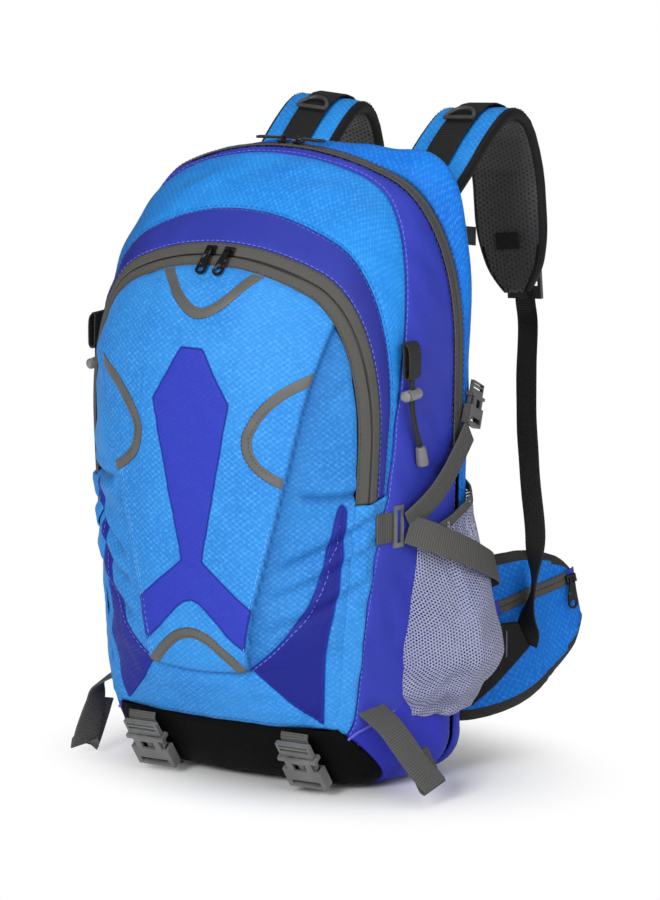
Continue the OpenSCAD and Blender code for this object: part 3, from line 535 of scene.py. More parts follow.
M = {
    # lit copy of the ripstop, with painted sheen, for the front
    "front": panel_cloth("front_cloth", ("royal",), (LIT_SKY, LIT_SKY_LIGHT, LIT_SKY_DEEP)),
    # shaded copy of the ripstop for the rear gusset and hip wings
    "rear": panel_cloth("rear_shaded_cloth", ("royal",), (SHADED_SKY, SHADED_SKY_LIGHT, SHADED_SKY_DARK)),
    "wing": panel_cloth("wing_shaded_cloth", (), (SHADED_SKY, SHADED_SKY_LIGHT, SHADED_SKY_DARK)),
    "sky": panel_cloth("sky_ripstop"),
    "royal": plain_cloth("royal_weave", ROYAL, ROYAL_DEEP),
    # A darker, shaded copy of the royal weave for the pocket's arch, with painted shade where its mark says so.
    "arch": plain_cloth("royal_arch_shaded_weave", tint(ROYAL, 0.9), tint(ROYAL_DEEP, 0.66),
                        coating_and_shade=(0.006, 0.008, 0.15, 1)),
    "band": panel_cloth("band_cloth", ("royal",)),
    "side": plain_cloth("royal_side_weave", ROYAL, ROYAL_DEEP, coating_and_shade=COATED),
    "lining": plain_cloth("lining_cloth", (0.13, 0.13, 0.14, 1), (0.07, 0.07, 0.075, 1)),
    "black": plain_cloth("black_cloth", (0.011, 0.011, 0.012, 1), (0.005, 0.005, 0.006, 1), pitch=0.0016,
                         gloss=0.15),
    "base": plain_cloth("coated_base", (0.0036, 0.0036, 0.004, 1), (0.002, 0.002, 0.0023, 1), pitch=0.002,
                        rough=(0.55, 0.7), gloss=0.05),
    "pad": spacer_mesh("spacer_mesh", (0.012, 0.012, 0.0125, 1)),
    "net": open_net("pocket_net", (0.225, 0.235, 0.36, 1)),
    "tape": tape_cloth("zip_tape_twill", (0.088, 0.085, 0.079, 1)),
    "grey_web": webbing_cloth("grey_webbing", (0.078, 0.077, 0.074, 1)),
    "charcoal_web": webbing_cloth("charcoal_webbing", (0.022, 0.022, 0.023, 1)),
    "black_web": webbing_cloth("black_webbing", (0.009, 0.009, 0.0095, 1)),
    "binding": tape_cloth("edge_binding", (0.030, 0.029, 0.027, 1)),
    "reflect": glass_bead("reflective_trim", (0.080, 0.079, 0.075, 1)),
    "coil": thread("zip_coil", (0.036, 0.035, 0.033, 1)),
    "pale_thread": thread("pale_thread", (0.16, 0.38, 0.85, 1)),
    "blue_thread": thread("blue_thread", (0.008, 0.05, 0.36, 1)),
    "violet_thread": thread("violet_thread", (0.13, 0.17, 0.68, 1)),
    "dark_thread": thread("dark_thread", (0.022, 0.022, 0.024, 1)),
    "grey_thread": thread("grey_thread", (0.16, 0.155, 0.15, 1)),
    "piping": thread("violet_piping", (0.11, 0.10, 0.56, 1)),
    "cord": braid("elastic_braid", (0.009, 0.009, 0.0095, 1)),
    "buckle": plastic("buckle_plastic", (0.135, 0.135, 0.133, 1)),
    "dark_plastic": plastic("dark_plastic", (0.040, 0.040, 0.041, 1)),
    "pale_plastic": plastic("pale_plastic", (0.21, 0.21, 0.21, 1)),
    "board": plastic("sheet_board", (0.7, 0.69, 0.65, 1), (0.5, 0.7)),
    "enamel": metal("dark_enamel", (0.012, 0.012, 0.013, 1)),
}


# Meshes
def make(name, verts, faces, materials, uvs=None, marks=None, face_material=None, smooth=True):
    mesh = bpy.data.meshes.new(name)
    v = np.asarray(verts, float).reshape(-1, 3) * 0.001
    mesh.from_pydata(v.tolist(), [], [tuple(int(i) for i in f) for f in faces])
    for m in materials:
        mesh.materials.append(M[m])
    mesh.polygons.foreach_set("use_smooth", np.full(len(mesh.polygons), smooth))
    if face_material is not None:
        mesh.polygons.foreach_set("material_index", np.asarray(face_material, np.int32))
    if uvs is not None:
        layer = mesh.uv_layers.new(name="UVMap")
        loops = np.empty(len(mesh.loops), np.int32)
        mesh.loops.foreach_get("vertex_index", loops)
        layer.data.foreach_set("uv", (np.asarray(uvs, float).reshape(-1, 2) * 0.001)[loops].ravel())
    for key, value in (marks or {}).items():
        mesh.attributes.new(key, "FLOAT", "POINT").data.foreach_set("value",
                                                                    np.asarray(value, np.float32).ravel())
    mesh.update()
    obj = bpy.data.objects.new(name, mesh)
    scene.collection.objects.link(obj)
    return obj


def grid_faces(m, n, closed=False):
    i, j = np.meshgrid(np.arange(m - 1), np.arange(n if closed else n - 1), indexing="ij")
    k = (j + 1) % n
    return np.stack([i * n + j, (i + 1) * n + j, (i + 1) * n + k, i * n + k], -1).reshape(-1, 4)


def face_out(obj):
    """Turn a closed mesh's faces outwards."""
    mesh = obj.data
    mesh.calc_loop_triangles()
    v, t = np.empty(len(mesh.vertices) * 3), np.empty(len(mesh.loop_triangles) * 3, np.int32)
    mesh.vertices.foreach_get("co", v)
    mesh.loop_triangles.foreach_get("vertices", t)
    q = (v.reshape(-1, 3) - v.reshape(-1, 3).mean(0))[t.reshape(-1, 3)]
    if (q[:, 0] * np.cross(q[:, 1], q[:, 2])).sum() < 0:
        mesh.flip_normals()
    return obj


def dress(obj, body, slot, *nodes):
    if nodes:
        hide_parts(*nodes)
    if body:
        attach(obj, body)
    return obj


CENTRE = np.array([0.0, 10.0, 230.0])


def outward(p, centre=CENTRE):
    """The same grid with its normals away from a centre."""
    if (normals(p) * (p - centre)).sum() < 0:
        return p[:, ::-1], True
    return p, False


def sheet_mesh(name, p, materials, marks=None, thick=1.3, turn_in=(2.6, 2.6, 2.6, 2.6), uv_shift=(0, 0)):
    """A panel of cloth from a grid of points, its edges turned in as seam allowance, with lining inside."""
    n = normals(p)
    u, v = spans(p, 1), spans(p, 0)
    u = u - u[:, u.shape[1] // 2][:, None] + uv_shift[0]
    v = v - v[v.shape[0] // 2][None, :] + uv_shift[1]
    uv = arr(u, v)
    marks = dict(marks or {})
    if turn_in[0]:
        p, n = np.concatenate([p[:1] - n[:1] * turn_in[0], p]), np.concatenate([n[:1], n])
        uv = np.concatenate([uv[:1], uv])
        marks = {k: np.concatenate([m[:1], m]) for k, m in marks.items()}
    if turn_in[1]:
        p, n = np.concatenate([p, p[-1:] - n[-1:] * turn_in[1]]), np.concatenate([n, n[-1:]])
        uv = np.concatenate([uv, uv[-1:]])
        marks = {k: np.concatenate([m, m[-1:]]) for k, m in marks.items()}
    if turn_in[2]:
        p = np.concatenate([p[:, :1] - n[:, :1] * turn_in[2], p], 1)
        n, uv = np.concatenate([n[:, :1], n], 1), np.concatenate([uv[:, :1], uv], 1)
        marks = {k: np.concatenate([m[:, :1], m], 1) for k, m in marks.items()}
    if turn_in[3]:
        p = np.concatenate([p, p[:, -1:] - n[:, -1:] * turn_in[3]], 1)
        uv = np.concatenate([uv, uv[:, -1:]], 1)
        marks = {k: np.concatenate([m, m[:, -1:]], 1) for k, m in marks.items()}
    obj = make(name, p, grid_faces(*p.shape[:2]), materials, uv, marks)
    if thick:
        solid = obj.modifiers.new("lining", "SOLIDIFY")
        solid.thickness, solid.offset = thick * 0.001, -1
        solid.material_offset = len(materials) - 1
        solid.material_offset_rim = 0
    return obj


def relief(p, seed, puff=1.6, groove=1.0, pucker=0.5, folds=0.9, low=26, high=80,
           edges=(True, True, True, True)):
    """Height of sewn cloth over a grid: swollen between its seams, sunk and puckered at them."""
    along, across = spans(p, 0), spans(p, 1)
    dist = [along, along[-1:] - along, across, across[:, -1:] - across]
    runs = [across, across, along, along]
    d = np.full(p.shape[:2], 1e3)
    ripple = np.zeros(p.shape[:2])
    r = np.random.default_rng(seed)
    for q, s, on in zip(dist, runs, edges):
        if on:
            d = np.minimum(d, q)
            phase = s * 2 * np.pi / 8.5 + 2.2 * np.sin(s * 2 * np.pi / 47 + r.uniform(0, 6)) + q * 0.16
            size = 0.55 + 0.45 * np.sin(s * 2 * np.pi / 83 + r.uniform(0, 6))
            ripple += np.sin(phase) * size * np.exp(-q / 7.0) * (1 - np.exp(-q / 1.2))
    width = 1 - np.exp(-d / 9.0)
    return puff * width - groove * np.exp(-(d / 2.0) ** 2) + pucker * ripple + folds * waves(p, seed, 5, low,
            high) * width


def panel(name, p, materials, body, slot, nodes=(), seed=1, marks=None, thick=1.3,
          edges=(True, True, True, True), **kw):
    flipped, back = outward(p)
    if back:
        marks = {k: m[:, ::-1] for k, m in (marks or {}).items()}
        edges = (edges[0], edges[1], edges[3], edges[2])
    q = flipped + normals(flipped) * relief(flipped, seed, edges=edges, **kw)[..., None]
    return dress(sheet_mesh(name, q, materials, marks, thick), body, slot, *nodes), q


def arch_grid(runs, front_of, back_of, across, inset=0.0):
    v = np.abs(runs)[:, None]
    k = np.linspace(0, 1, across)[None, :]
    t = mix(back_of(v), front_of(v), k)
    return bag_point(np.where(runs < 0, -1, 1)[:, None] * run_at(v, t), t, inset)


def even_runs(first, last, step=3.0, t=0.3):
    """Runs along the bag's outline at even spacing."""
    u = np.linspace(first, last, 2001)
    line = bag_point(np.where(u < 0, -1, 1) * run_at(np.abs(u), np.full_like(u, t)), np.full_like(u, t))
    d = np.concatenate([[0], np.cumsum(np.linalg.norm(np.diff(line, axis=0), axis=1))])
    return np.interp(np.linspace(0, d[-1], int(d[-1] / step) + 1), d, u)


def tube(name, line, radius, material, sides=8, closed_ends=True):
    line = np.asarray(line, float)
    t = unit(np.gradient(line, axis=0))
    up = np.array([0.0, 0, 1]) if abs(t[0][2]) < 0.9 else np.array([0.0, 1, 0])
    rows, a = [], unit(np.cross(t[0], up))
    run = np.concatenate([[0], np.cumsum(np.linalg.norm(np.diff(line, axis=0), axis=1))])
    uv = []
    for i in range(len(line)):
        a = unit(a - (a @ t[i]) * t[i])
        c = np.cross(t[i], a)
        w = 2 * np.pi * np.arange(sides + 1) / sides
        rad = radius[i] if np.ndim(radius) else radius
        rows.append(line[i] + rad * (np.cos(w)[:, None] * a + np.sin(w)[:, None] * c))
        uv.append(np.stack([w * rad, np.full(sides + 1, run[i])], -1))
    p = np.array(rows)
    faces = grid_faces(len(line), sides + 1).tolist()
    if closed_ends:
        faces += [list(range(sides)), [(len(line) - 1) * (sides + 1) + k for k in range(sides - 1, -1, -1)]]
    return face_out(make(name, p, faces, [material], np.array(uv)))


def strap(name, route, across, width, thick, material, step=3.0, ends=True, wear=0.25, seed=3):
    """A flat strap with rounded selvedges along a route."""
    route, across = np.asarray(route, float), np.asarray(across, float)
    if across.ndim == 1:
        across = np.tile(across, (len(route), 1))
    both = resample(np.concatenate([route, across], 1), step) if step else np.concatenate([route, across], 1)
    line, side = both[:, :3], both[:, 3:]
    t = unit(np.gradient(line, axis=0))
    n = unit(np.cross(t, side))
    a = unit(np.cross(n, t))
    w = np.broadcast_to(np.asarray(width, float), (len(line),)) if np.ndim(width) == 0 else np.interp(
        np.linspace(0, 1, len(line)), np.linspace(0, 1, len(width)), width)
    half = [(-1, 0), (-0.97, 0.72), (-0.9, 1), (-0.45, 1), (0, 1), (0.45, 1), (0.9, 1), (0.97, 0.72), (1, 0)]
    section = half + [(x, -y) for x, y in half[-2:0:-1]]
    ripple = (wear * np.sin(np.arange(len(line)) * step / 11.0 + seed))[:, None]
    line = line + n * ripple * np.sin(np.linspace(0, np.pi, len(line)))[:, None]
    p = np.stack([line + a * (x * w / 2)[:, None] + n * (y * thick / 2) for x, y in section], 1)
    run = np.concatenate([[0], np.cumsum(np.linalg.norm(np.diff(line, axis=0), axis=1))])
    uv = np.stack([np.stack([x * w / 2, run], -1) for x, y in section], 1)
    m, k = p.shape[:2]
    faces = grid_faces(m, k, True).tolist()
    if ends:
        faces += [list(range(k)), [(m - 1) * k + i for i in range(k - 1, -1, -1)]]
    return face_out(make(name, p, faces, [material], uv))


def join(name, objs):
    """One object from several."""
    verts, faces, uvs, mats, index, start = [], [], [], [], [], 0
    for o in objs:
        mesh = o.data
        v = np.empty(len(mesh.vertices) * 3)
        mesh.vertices.foreach_get("co", v)
        verts.append(v.reshape(-1, 3) * 1000)
        uv = np.zeros((len(mesh.vertices), 2))
        for q in mesh.polygons:
            faces.append([i + start for i in q.vertices])
            m = mesh.materials[q.material_index]
            if m not in mats:
                mats.append(m)
            index.append(mats.index(m))
        if mesh.uv_layers:
            loops = np.empty(len(mesh.loops), np.int32)
            mesh.loops.foreach_get("vertex_index", loops)
            d = np.empty(len(mesh.loops) * 2)
            mesh.uv_layers[0].data.foreach_get("uv", d)
            uv[loops] = d.reshape(-1, 2) * 1000
        uvs.append(uv)
        start += len(mesh.vertices)
    names = {m: k for k, m in M.items()}
    out = make(name, np.concatenate(verts), faces, [names[m] for m in mats], np.concatenate(uvs), None, index)
    for o in objs:
        mesh = o.data
        bpy.data.objects.remove(o)
        bpy.data.meshes.remove(mesh)
    return out


def mirrored(p):
    return np.asarray(p, float) * np.array([-1.0, 1, 1])


def stitches(name, lines, material, length=3.2, gap=1.9, radius=0.42, lift=0.35):
    """Rows of thread on a surface: each line is points with normals."""
    verts, faces, start = [], [], 0
    for line, norm in lines:
        both = resample(np.concatenate([line, norm], 1), 0.8)
        q, n = both[:, :3], unit(both[:, 3:])
        d = np.concatenate([[0], np.cumsum(np.linalg.norm(np.diff(q, axis=0), axis=1))])
        at = lambda s: (np.array([np.interp(s, d, q[:, i]) for i in range(3)]),
                        np.array([np.interp(s, d, n[:, i]) for i in range(3)]))
        for s in np.arange(gap, d[-1] - length, length + gap):
            (a, na), (c, _), (b, nb) = at(s), at(s + length / 2), at(s + length)
            t = unit(b - a)
            w = unit(np.cross(t, na)) * radius
            m = c + na * (lift + radius)
            verts += [a - na * 0.3, a + w * 0.8 + na * lift * 0.4, m + w - na * radius,
                      b + w * 0.8 + nb * lift * 0.4, b - nb * 0.3,
                      b - w * 0.8 + nb * lift * 0.4, m - w - na * radius, a - w * 0.8 + na * lift * 0.4,
                      a + na * (lift * 0.6), m, b + nb * (lift * 0.6)]
            k = start
            faces += [[k, k + 1, k + 8], [k, k + 8, k + 7], [k + 1, k + 2, k + 9, k + 8],
                      [k + 8, k + 9, k + 6, k + 7],
                      [k + 2, k + 3, k + 10, k + 9], [k + 9, k + 10, k + 5, k + 6], [k + 3, k + 4, k + 10],
                      [k + 4, k + 5, k + 10]]
            start += 11
    return make(name, verts, faces, [material])


def seam_line(q, rear, dist):
    """A line at a distance in from a grid's rear or front edge, with its normals."""
    n = normals(q)
    middle = len(q) // 2
    if (q[middle, 0, 1] > q[middle, -1, 1]) != rear:
        q, n = q[:, ::-1], n[:, ::-1]
    d = spans(q, 1)
    at = lambda g: np.array([[np.interp(dist, d[i], g[i, :, c]) for c in range(3)] for i in range(len(q))])
    return at(q), unit(at(n))


def inflate(obj, hold, cap, pressure=4.0, frames=20):
    """Swell a piece with Cloth under inner pressure, some of its points held, and keep the result."""
    group = obj.vertex_groups.new(name="hold")
    group.add([int(i) for i in hold], 1.0, "REPLACE")
    cloth = obj.modifiers.new("fill", "CLOTH")
    c = cloth.settings
    c.use_pressure, c.uniform_pressure_force, c.mass, c.quality = True, pressure, 0.3, 5
    c.vertex_group_mass, c.effector_weights.gravity = "hold", 0
    cloth.point_cache.frame_start, cloth.point_cache.frame_end = 1, frames
    for f in range(1, frames + 1):
        scene.frame_set(f)
    a, b = np.empty(len(obj.data.vertices) * 3), np.empty(len(obj.data.vertices) * 3)
    obj.data.vertices.foreach_get("co", a)
    obj.evaluated_get(bpy.context.evaluated_depsgraph_get()).data.vertices.foreach_get("co", b)
    move = (b - a).reshape(-1, 3)
    size = np.linalg.norm(move, axis=1, keepdims=True)
    obj.modifiers.remove(cloth)
    obj.vertex_groups.clear()
    obj.data.vertices.foreach_set("co", (a.reshape(-1, 3)
                                         + move * np.minimum(1, cap * 0.001 / np.maximum(size, 1e-9))).ravel())
    obj.data.update()
    scene.frame_set(1)


# Camera, floor and light
def place_camera():
    az, el = math.radians(CAMERA_TURN), math.radians(CAMERA_RISE)
    back = Vector((math.sin(az) * math.cos(el), -math.cos(az) * math.cos(el), math.sin(el)))
    data = bpy.data.cameras.new("camera")
    data.lens, data.sensor_width, data.clip_end = CAMERA_LENS, 36.0, 60.0
    cam = bpy.data.objects.new("camera", data)
    cam.location = Vector(CAMERA_TARGET) + back * CAMERA_AWAY
    cam.rotation_euler = back.to_track_quat("Z", "Y").to_euler()
    scene.collection.objects.link(cam)
    scene.camera = cam


def lamp(name, size, energy, location, target=(0.0, 0.0, 0.25)):
    data = bpy.data.lights.new(name, "AREA")
    data.shape, data.size, data.energy = "DISK", size, energy
    obj = bpy.data.objects.new(name, data)
    obj.location = location
    obj.rotation_euler = (Vector(location) - Vector(target)).to_track_quat("Z", "Y").to_euler()
    scene.collection.objects.link(obj)


def studio():
    b = Paint("pale_floor")
    s = b.node("ShaderNodeSeparateXYZ", {0: b.place()}).node
    x = b.math("DIVIDE", b.math("SUBTRACT", s.outputs[0], 0.03), 0.27)
    y = b.math("DIVIDE", b.math("SUBTRACT", s.outputs[1], 0.05), 0.20)
    far = b.math("SQRT", b.math("ADD", b.math("MULTIPLY", x, x), b.math("MULTIPLY", y, y)))
    path = b.node("ShaderNodeLightPath").node
    seen = b.math("MAXIMUM", path.outputs["Is Camera Ray"],
                  b.math("MAXIMUM", path.outputs["Is Glossy Ray"], path.outputs["Is Transmission Ray"]))
    share = b.math("MULTIPLY", b.map(far, 0.42, 1.0), seen)
    speck = b.noise(30.0, 3.0)
    ground = b.node("ShaderNodeBsdfDiffuse",
                    {"Color": b.mix(speck, (0.93, 0.93, 0.93, 1), (0.96, 0.96, 0.96, 1))})
    white = b.node("ShaderNodeEmission", {"Color": (1, 1, 1, 1), "Strength": 1.0})
    b.tree.links.new(b.node("ShaderNodeMixShader", {0: share, 1: ground, 2: white}), b.end.inputs["Surface"])
    M["floor"] = b.material
    r = np.linspace(0, 2 * np.pi, 96, endpoint=False)
    low = cad_box[0][2] * 1000 - 0.2
    obj = make("floor", np.stack([16000 * np.cos(r), 16000 * np.sin(r), np.full(96, low)], -1),
               [list(range(96))], ["floor"])
    world = bpy.data.worlds.new("studio")
    world.use_nodes = True
    world.node_tree.nodes["Background"].inputs["Color"].default_value = (1, 1, 1, 1)
    world.node_tree.nodes["Background"].inputs["Strength"].default_value = 0.24
    scene.world = world
    lamp("key", 1.1, 57.0, (0.25, -2.6, 1.35))
    lamp("fill", 1.6, 27.0, (2.3, -1.1, 1.1))
    lamp("top", 1.6, 14.0, (0.2, 0.3, 2.4))


place_camera()
studio()


# Pole keeper cords: two strands of elastic on each side
KEEPER_Y, KEEPER_X, TAB_LOW = float(depth_at(0.55)), float(width_at(0.55)) + 5.2, 336.0
CORD_POINTS = [[0, 0, TAB_LOW + 8], [0, 0, TAB_LOW - 8], [0.4, 0, TAB_LOW - 22], [0.8, 3, TAB_LOW - 36],
               [0.6, 8, TAB_LOW - 47.4], [0.4, 12.2, TAB_LOW - 54.4]]
for word, sign, m in SIDES:
    for place, strand in (("front", -1.7), ("rear", 1.7)):
        line = resample(curve(CORD_POINTS, 8) + np.array([KEEPER_X, KEEPER_Y + strand, 0]), 2.6) * m
        cord = tube("pole_cord_%s_%s" % (word, place), line, 1.4, "cord", 10)
        dress(cord, "front_shell", "cord", "pole_cords")

# Bag panels around the arches
FULL = even_runs(-1, 1)
ARCH = even_runs(-ZIP_END, ZIP_END)
PIPING_Y = [-64, -52.8, -33.7, -15.0, -4.5, 8.0, 40.0]
PIPING_Z = [47, 52.7, 58.3, 66.8, 74.1, 80.0, 84.0]


def below_piping(p):
    """How far a point of the side lies under the piping that ends the side's lower corner."""
    return np.interp(p[..., 1], PIPING_Y, PIPING_Z) - p[..., 2]


g = arch_grid(FULL, gusset_edge, rear_edge, 30)
_, gusset_p = panel("main_gusset_cloth", g, ["side", "lining"], "front_shell", "royal_fabric",
                    ["main_gusset"], 11, {"coating_and_shade": below_piping(g)}, pucker=0.6, folds=1.1)
# The band's cloth gets painted shade towards its left end.
g = arch_grid(ARCH, band_edge, gusset_edge, 26)
_, band_p = panel("front_band_cloth", g, ["band", "lining"], "front_shell", "sky_fabric", ["front_band"], 12,
                  {"royal": 0 * g[..., 0] - 20, "shade": 0.34 * ease((-g[..., 0] - 50) / 70)}, folds=1.4)
# Painted shade towards both ends of the pocket's arch, heavier on the left.
g = arch_grid(ARCH, lambda v: 0.93 + 0 * v, band_edge, 14)
_, arch_p = panel("pocket_gusset_cloth", g, ["arch", "lining"], "front_shell", "royal_fabric",
                  ["pocket_gusset"], 13,
                  {"coating_and_shade": 0.3 * ease((-g[..., 0] - 60) / 55) + 0.16 * ease((g[..., 0] - 85) / 30) - 0.2},
                  folds=0.9)

k = np.linspace(0, 1.018, 20)[None, :]
inset = 26 * (1 - np.sqrt(1 - k * k * 0.96)) - rear_bulge(FULL)[:, None] * np.sin(np.pi * k ** 1.15)
bx, bz = outline(FULL[:, None], HALF_W - inset, BAG_H - inset, 0 * inset, CORNER_R)
bx = bx * taper(0.0, bz, mid_at(0.0))
g = arr(bx, mix(ZIP_Y + 6.5 + set_back(bx, 0.0), BACK_Y - 6, k), bz)
_, rear_p = panel("back_gusset_cloth", g, ["rear", "lining"], "pack", "sky_fabric", ["back_gusset"], 14,
                  {"royal": 86 - g[..., 2], "shade": 0 * g[..., 2]}, folds=1.1)


# Seams of the bag's panels
for name, lines, key, body in (
        ("gusset_stitch", [seam_line(gusset_p, True, 2.4)], "violet_thread", "front_shell"),
        ("gusset_seam_stitch", [seam_line(gusset_p, False, 2.6)], "violet_thread", "front_shell"),
        ("band_stitch", [seam_line(band_p, True, 2.4), seam_line(band_p, False, 2.4)], "blue_thread",
         "front_shell"),
        ("arch_stitch", [seam_line(arch_p, True, 2.4), seam_line(arch_p, False, 2.2)], "violet_thread",
         "front_shell"),
        ("rear_stitch", [seam_line(rear_p, False, 2.4)], "blue_thread", "pack")):
    dress(stitches(name, lines, key, 3.0, 1.8, 0.34, 0.3), body,
          "royal_fabric" if "violet" in key else "sky_fabric")
y = np.linspace(-62, 34, 60)
z = np.interp(y, PIPING_Y, PIPING_Z)
for word, sign, m in SIDES:
    out = 2.1 if sign > 0 else mix(-6, 2.1, ease((y + 50) / 24))
    line = arr(side_x(y, z) + out, y, z) * m
    dress(tube("side_piping_" + word, line, 1.1, "piping", 7), "front_shell", "royal_fabric")


# Zips: two woven tapes with folded edges that meet over the coil
def zip_tape(name, edge, seam, body, node):
    """One half of a zip from its folded edge to its sewn edge, as grids of points along the arch."""
    k = np.array([0, 0.08, 0.2, 0.4, 0.6, 0.8, 0.93, 1.0])[None, :, None]
    rise = np.array([-0.5, 0.2, 0.5, 0.32, 0.3, 0.35, 0.5, 0.1])
    p, back = outward(mix(edge[:, None], seam[:, None], k))
    q = p + normals(p) * (rise[::-1] if back else rise)[None, :, None]
    obj = sheet_mesh(name, q, ["tape", "lining"], None, 1.0, (0, 0, 1.6, 1.6))
    dress(obj, body, "zip_tape", node)
    line = mix(edge, seam, 0.86)
    n = normals(p)[:, 3]
    dress(stitches(name + "_stitch", [(line + n * 0.45, n)], "dark_thread", 2.6, 1.5, 0.34, 0.3), body,
          "zip_tape")


def arch_line(t, lift=-0.3):
    return bag_point(ARCH, np.full_like(ARCH, t), lift)


zip_tape("main_zip_front", arch_line(0.28 / DEPTH), arch_line(TAPE_SHARE + 0.028, -2.1), "front_shell",
         "front_zip_tape")
zip_tape("main_zip_rear", arch_line(-0.28 / DEPTH), arch_line(-TAPE_SHARE - 0.006), "pack", "rear_zip_tape")
zip_tape("pocket_zip_rear", arch_line(1 - 0.3 / DEPTH), arch_line(0.93), "front_shell", "pocket_zip_tape")


def flap_line(d, lift=0.0):
    x, z = outline(ARCH, POCKET_HALF - d, POCKET_TOP - d, BASE_RISE, CORNER_R)
    z = np.maximum(z, FOLD_Z + 0.4)
    x = x * taper(1.0, z, POCKET_MID)
    return arr(x, face_y(x, z) - lift, z)


zip_tape("pocket_zip_front", flap_line(0.3, 0.3), flap_line(TAPE_D - 0.3, 0.3), "flap", "flap_zip_tape")


def coil(name, line, body, depth):
    """A row of coil teeth just under a zip's slit."""
    q = resample(line, 1.1)
    n = unit(q - CENTRE)
    t = unit(np.gradient(q, axis=0))
    s = np.cross(t, n)
    turn = np.where(np.arange(len(q)) % 2, 1, -1)[:, None]
    wavy = q - n * depth + s * (0.55 * turn) + n * (0.35 * turn)
    dress(tube(name, wavy, 0.5, "coil", 5), body, "zip_tape")


coil("main_zip_coil", arch_line(0.1 / DEPTH), "front_shell", 1.3)
coil("pocket_zip_coil", arch_line(1 - 0.1 / DEPTH), "front_shell", 1.3)

# The pocket's flap and the lower front, one cloth with sewn-in blocks
ARROW_HALF = [(9.7, 360.5), (34.3, 319.5), (9.3, 191), (51, 155.5), (44.6, 123)]
MOUND_HALF = [(30, 135.5), (20, 146), (13, 153), (7, 157.6), (0, 159.6)]
ARROW = ARROW_HALF + MOUND_HALF + [(-x, z) for x, z in MOUND_HALF[-2::-1] + ARROW_HALF[::-1]]
CORNER_IN = [(113.2, 239), (104.2, 196.1), (96.3, 166.3), (83.3, 143.7), (64.5, 121.5), (45.0, 105.5)]
CORNER_OUT = [(92.5, 58), (96.0, 80), (100.6, 118.5), (106.2, 155.4), (110.6, 195.8), (113.8, 234)]
CORNER = [tuple(q) for q in curve(CORNER_IN, 4)] + [(67, 80.5)] + CORNER_OUT
SEAM_Z = np.array([50, 100, 106, 155, 163, 210, 222, 260, 278, 328, 346, 378, 440])
SEAM_X = np.array([44, 44, 45, 52.7, 54.6, 66, 68.8, 77.5, 81.5, 91.8, 96, 103, 112])


def low_seam(x):
    return 100.5 + 0.0016 * x * x


def seam_x(z):
    """Distance of the front's side seams from the middle."""
    return np.interp(z, SEAM_Z, SEAM_X)


def pocket_sag(ax):
    """Height of the fold under the pocket's end, at a distance from the middle."""
    return FOLD_Z + 8 + 0.006 * (ax - 104) ** 2


def flank_fold(at, ax):
    """Height of a slanting fold of the slack side cloth."""
    return at + 0.55 * (ax - 90) + 0.004 * (ax - 90) ** 2


OUTLINE = np.stack(outline(np.linspace(-ZIP_END, ZIP_END, 401), POCKET_HALF - TAPE_D, POCKET_TOP - TAPE_D,
                           BASE_RISE, CORNER_R), -1)
OUTLINE[:, 0] *= taper(1.0, OUTLINE[:, 1], POCKET_MID)


def front_marks(x, z):
    ax = np.abs(x)
    arrow, corner = sdf(ARROW, x, z), sdf(CORNER, ax, z) + 1.9 * ease((z - 130) / 40)
    return arrow, corner, np.maximum(arrow, corner)


def front_shade(x, z):
    """How much painted shade darkens the front's cloth, from 0 to 1: a painted shadow along the side seams,
    heavier on the right, and over the right flank, painted shade in the folds' creases and under the low seam,
    and over the corner blocks.
    """
    ax = np.abs(x)
    side = (ax - seam_x(z)) * 0.96
    live = ease((z - low_seam(x) + 2) / 5)
    wide = np.where(x > 0, 1.0, 0.12)
    c = np.maximum(0.75 * np.exp(-(side / 1.5) ** 2),
                   np.where(side > 0, 0.12 + 0.42 * np.exp(-np.maximum(side, 0) / 9), 0)) * wide * live
    sag = pocket_sag(ax)
    out = ease((side - 6) / 10)
    c = np.maximum(c, out * (0.5 * np.exp(-((z - sag + 2) / 2.4) ** 2)
                             + 0.18 * np.exp(-((z - sag + 7) / 6) ** 2)))
    for at, deep, wide in ((206, 0.34, 5.0), (184, 0.28, 4.5), (158, 0.24, 4.5)):
        line = flank_fold(at, ax) - 1.6 * wide
        c = np.maximum(c, out * deep * np.exp(-((z - line) / wide) ** 2) * ease((112 - ax) / 16))
    below = low_seam(x) - z
    c = np.maximum(c, 0.5 * np.exp(-(below / 1.6) ** 2) * ease((50 - ax) / 6))
    # painted shade over the royal corner blocks, heavier on the right
    c = np.maximum(c, np.where(x > 0, 0.74, 0.55) * ease(front_marks(x, z)[2] / 2) * ease((ax - 44) / 8)
                   * ease((side + 4) / 6))
    return np.clip(c, 0, 0.9)


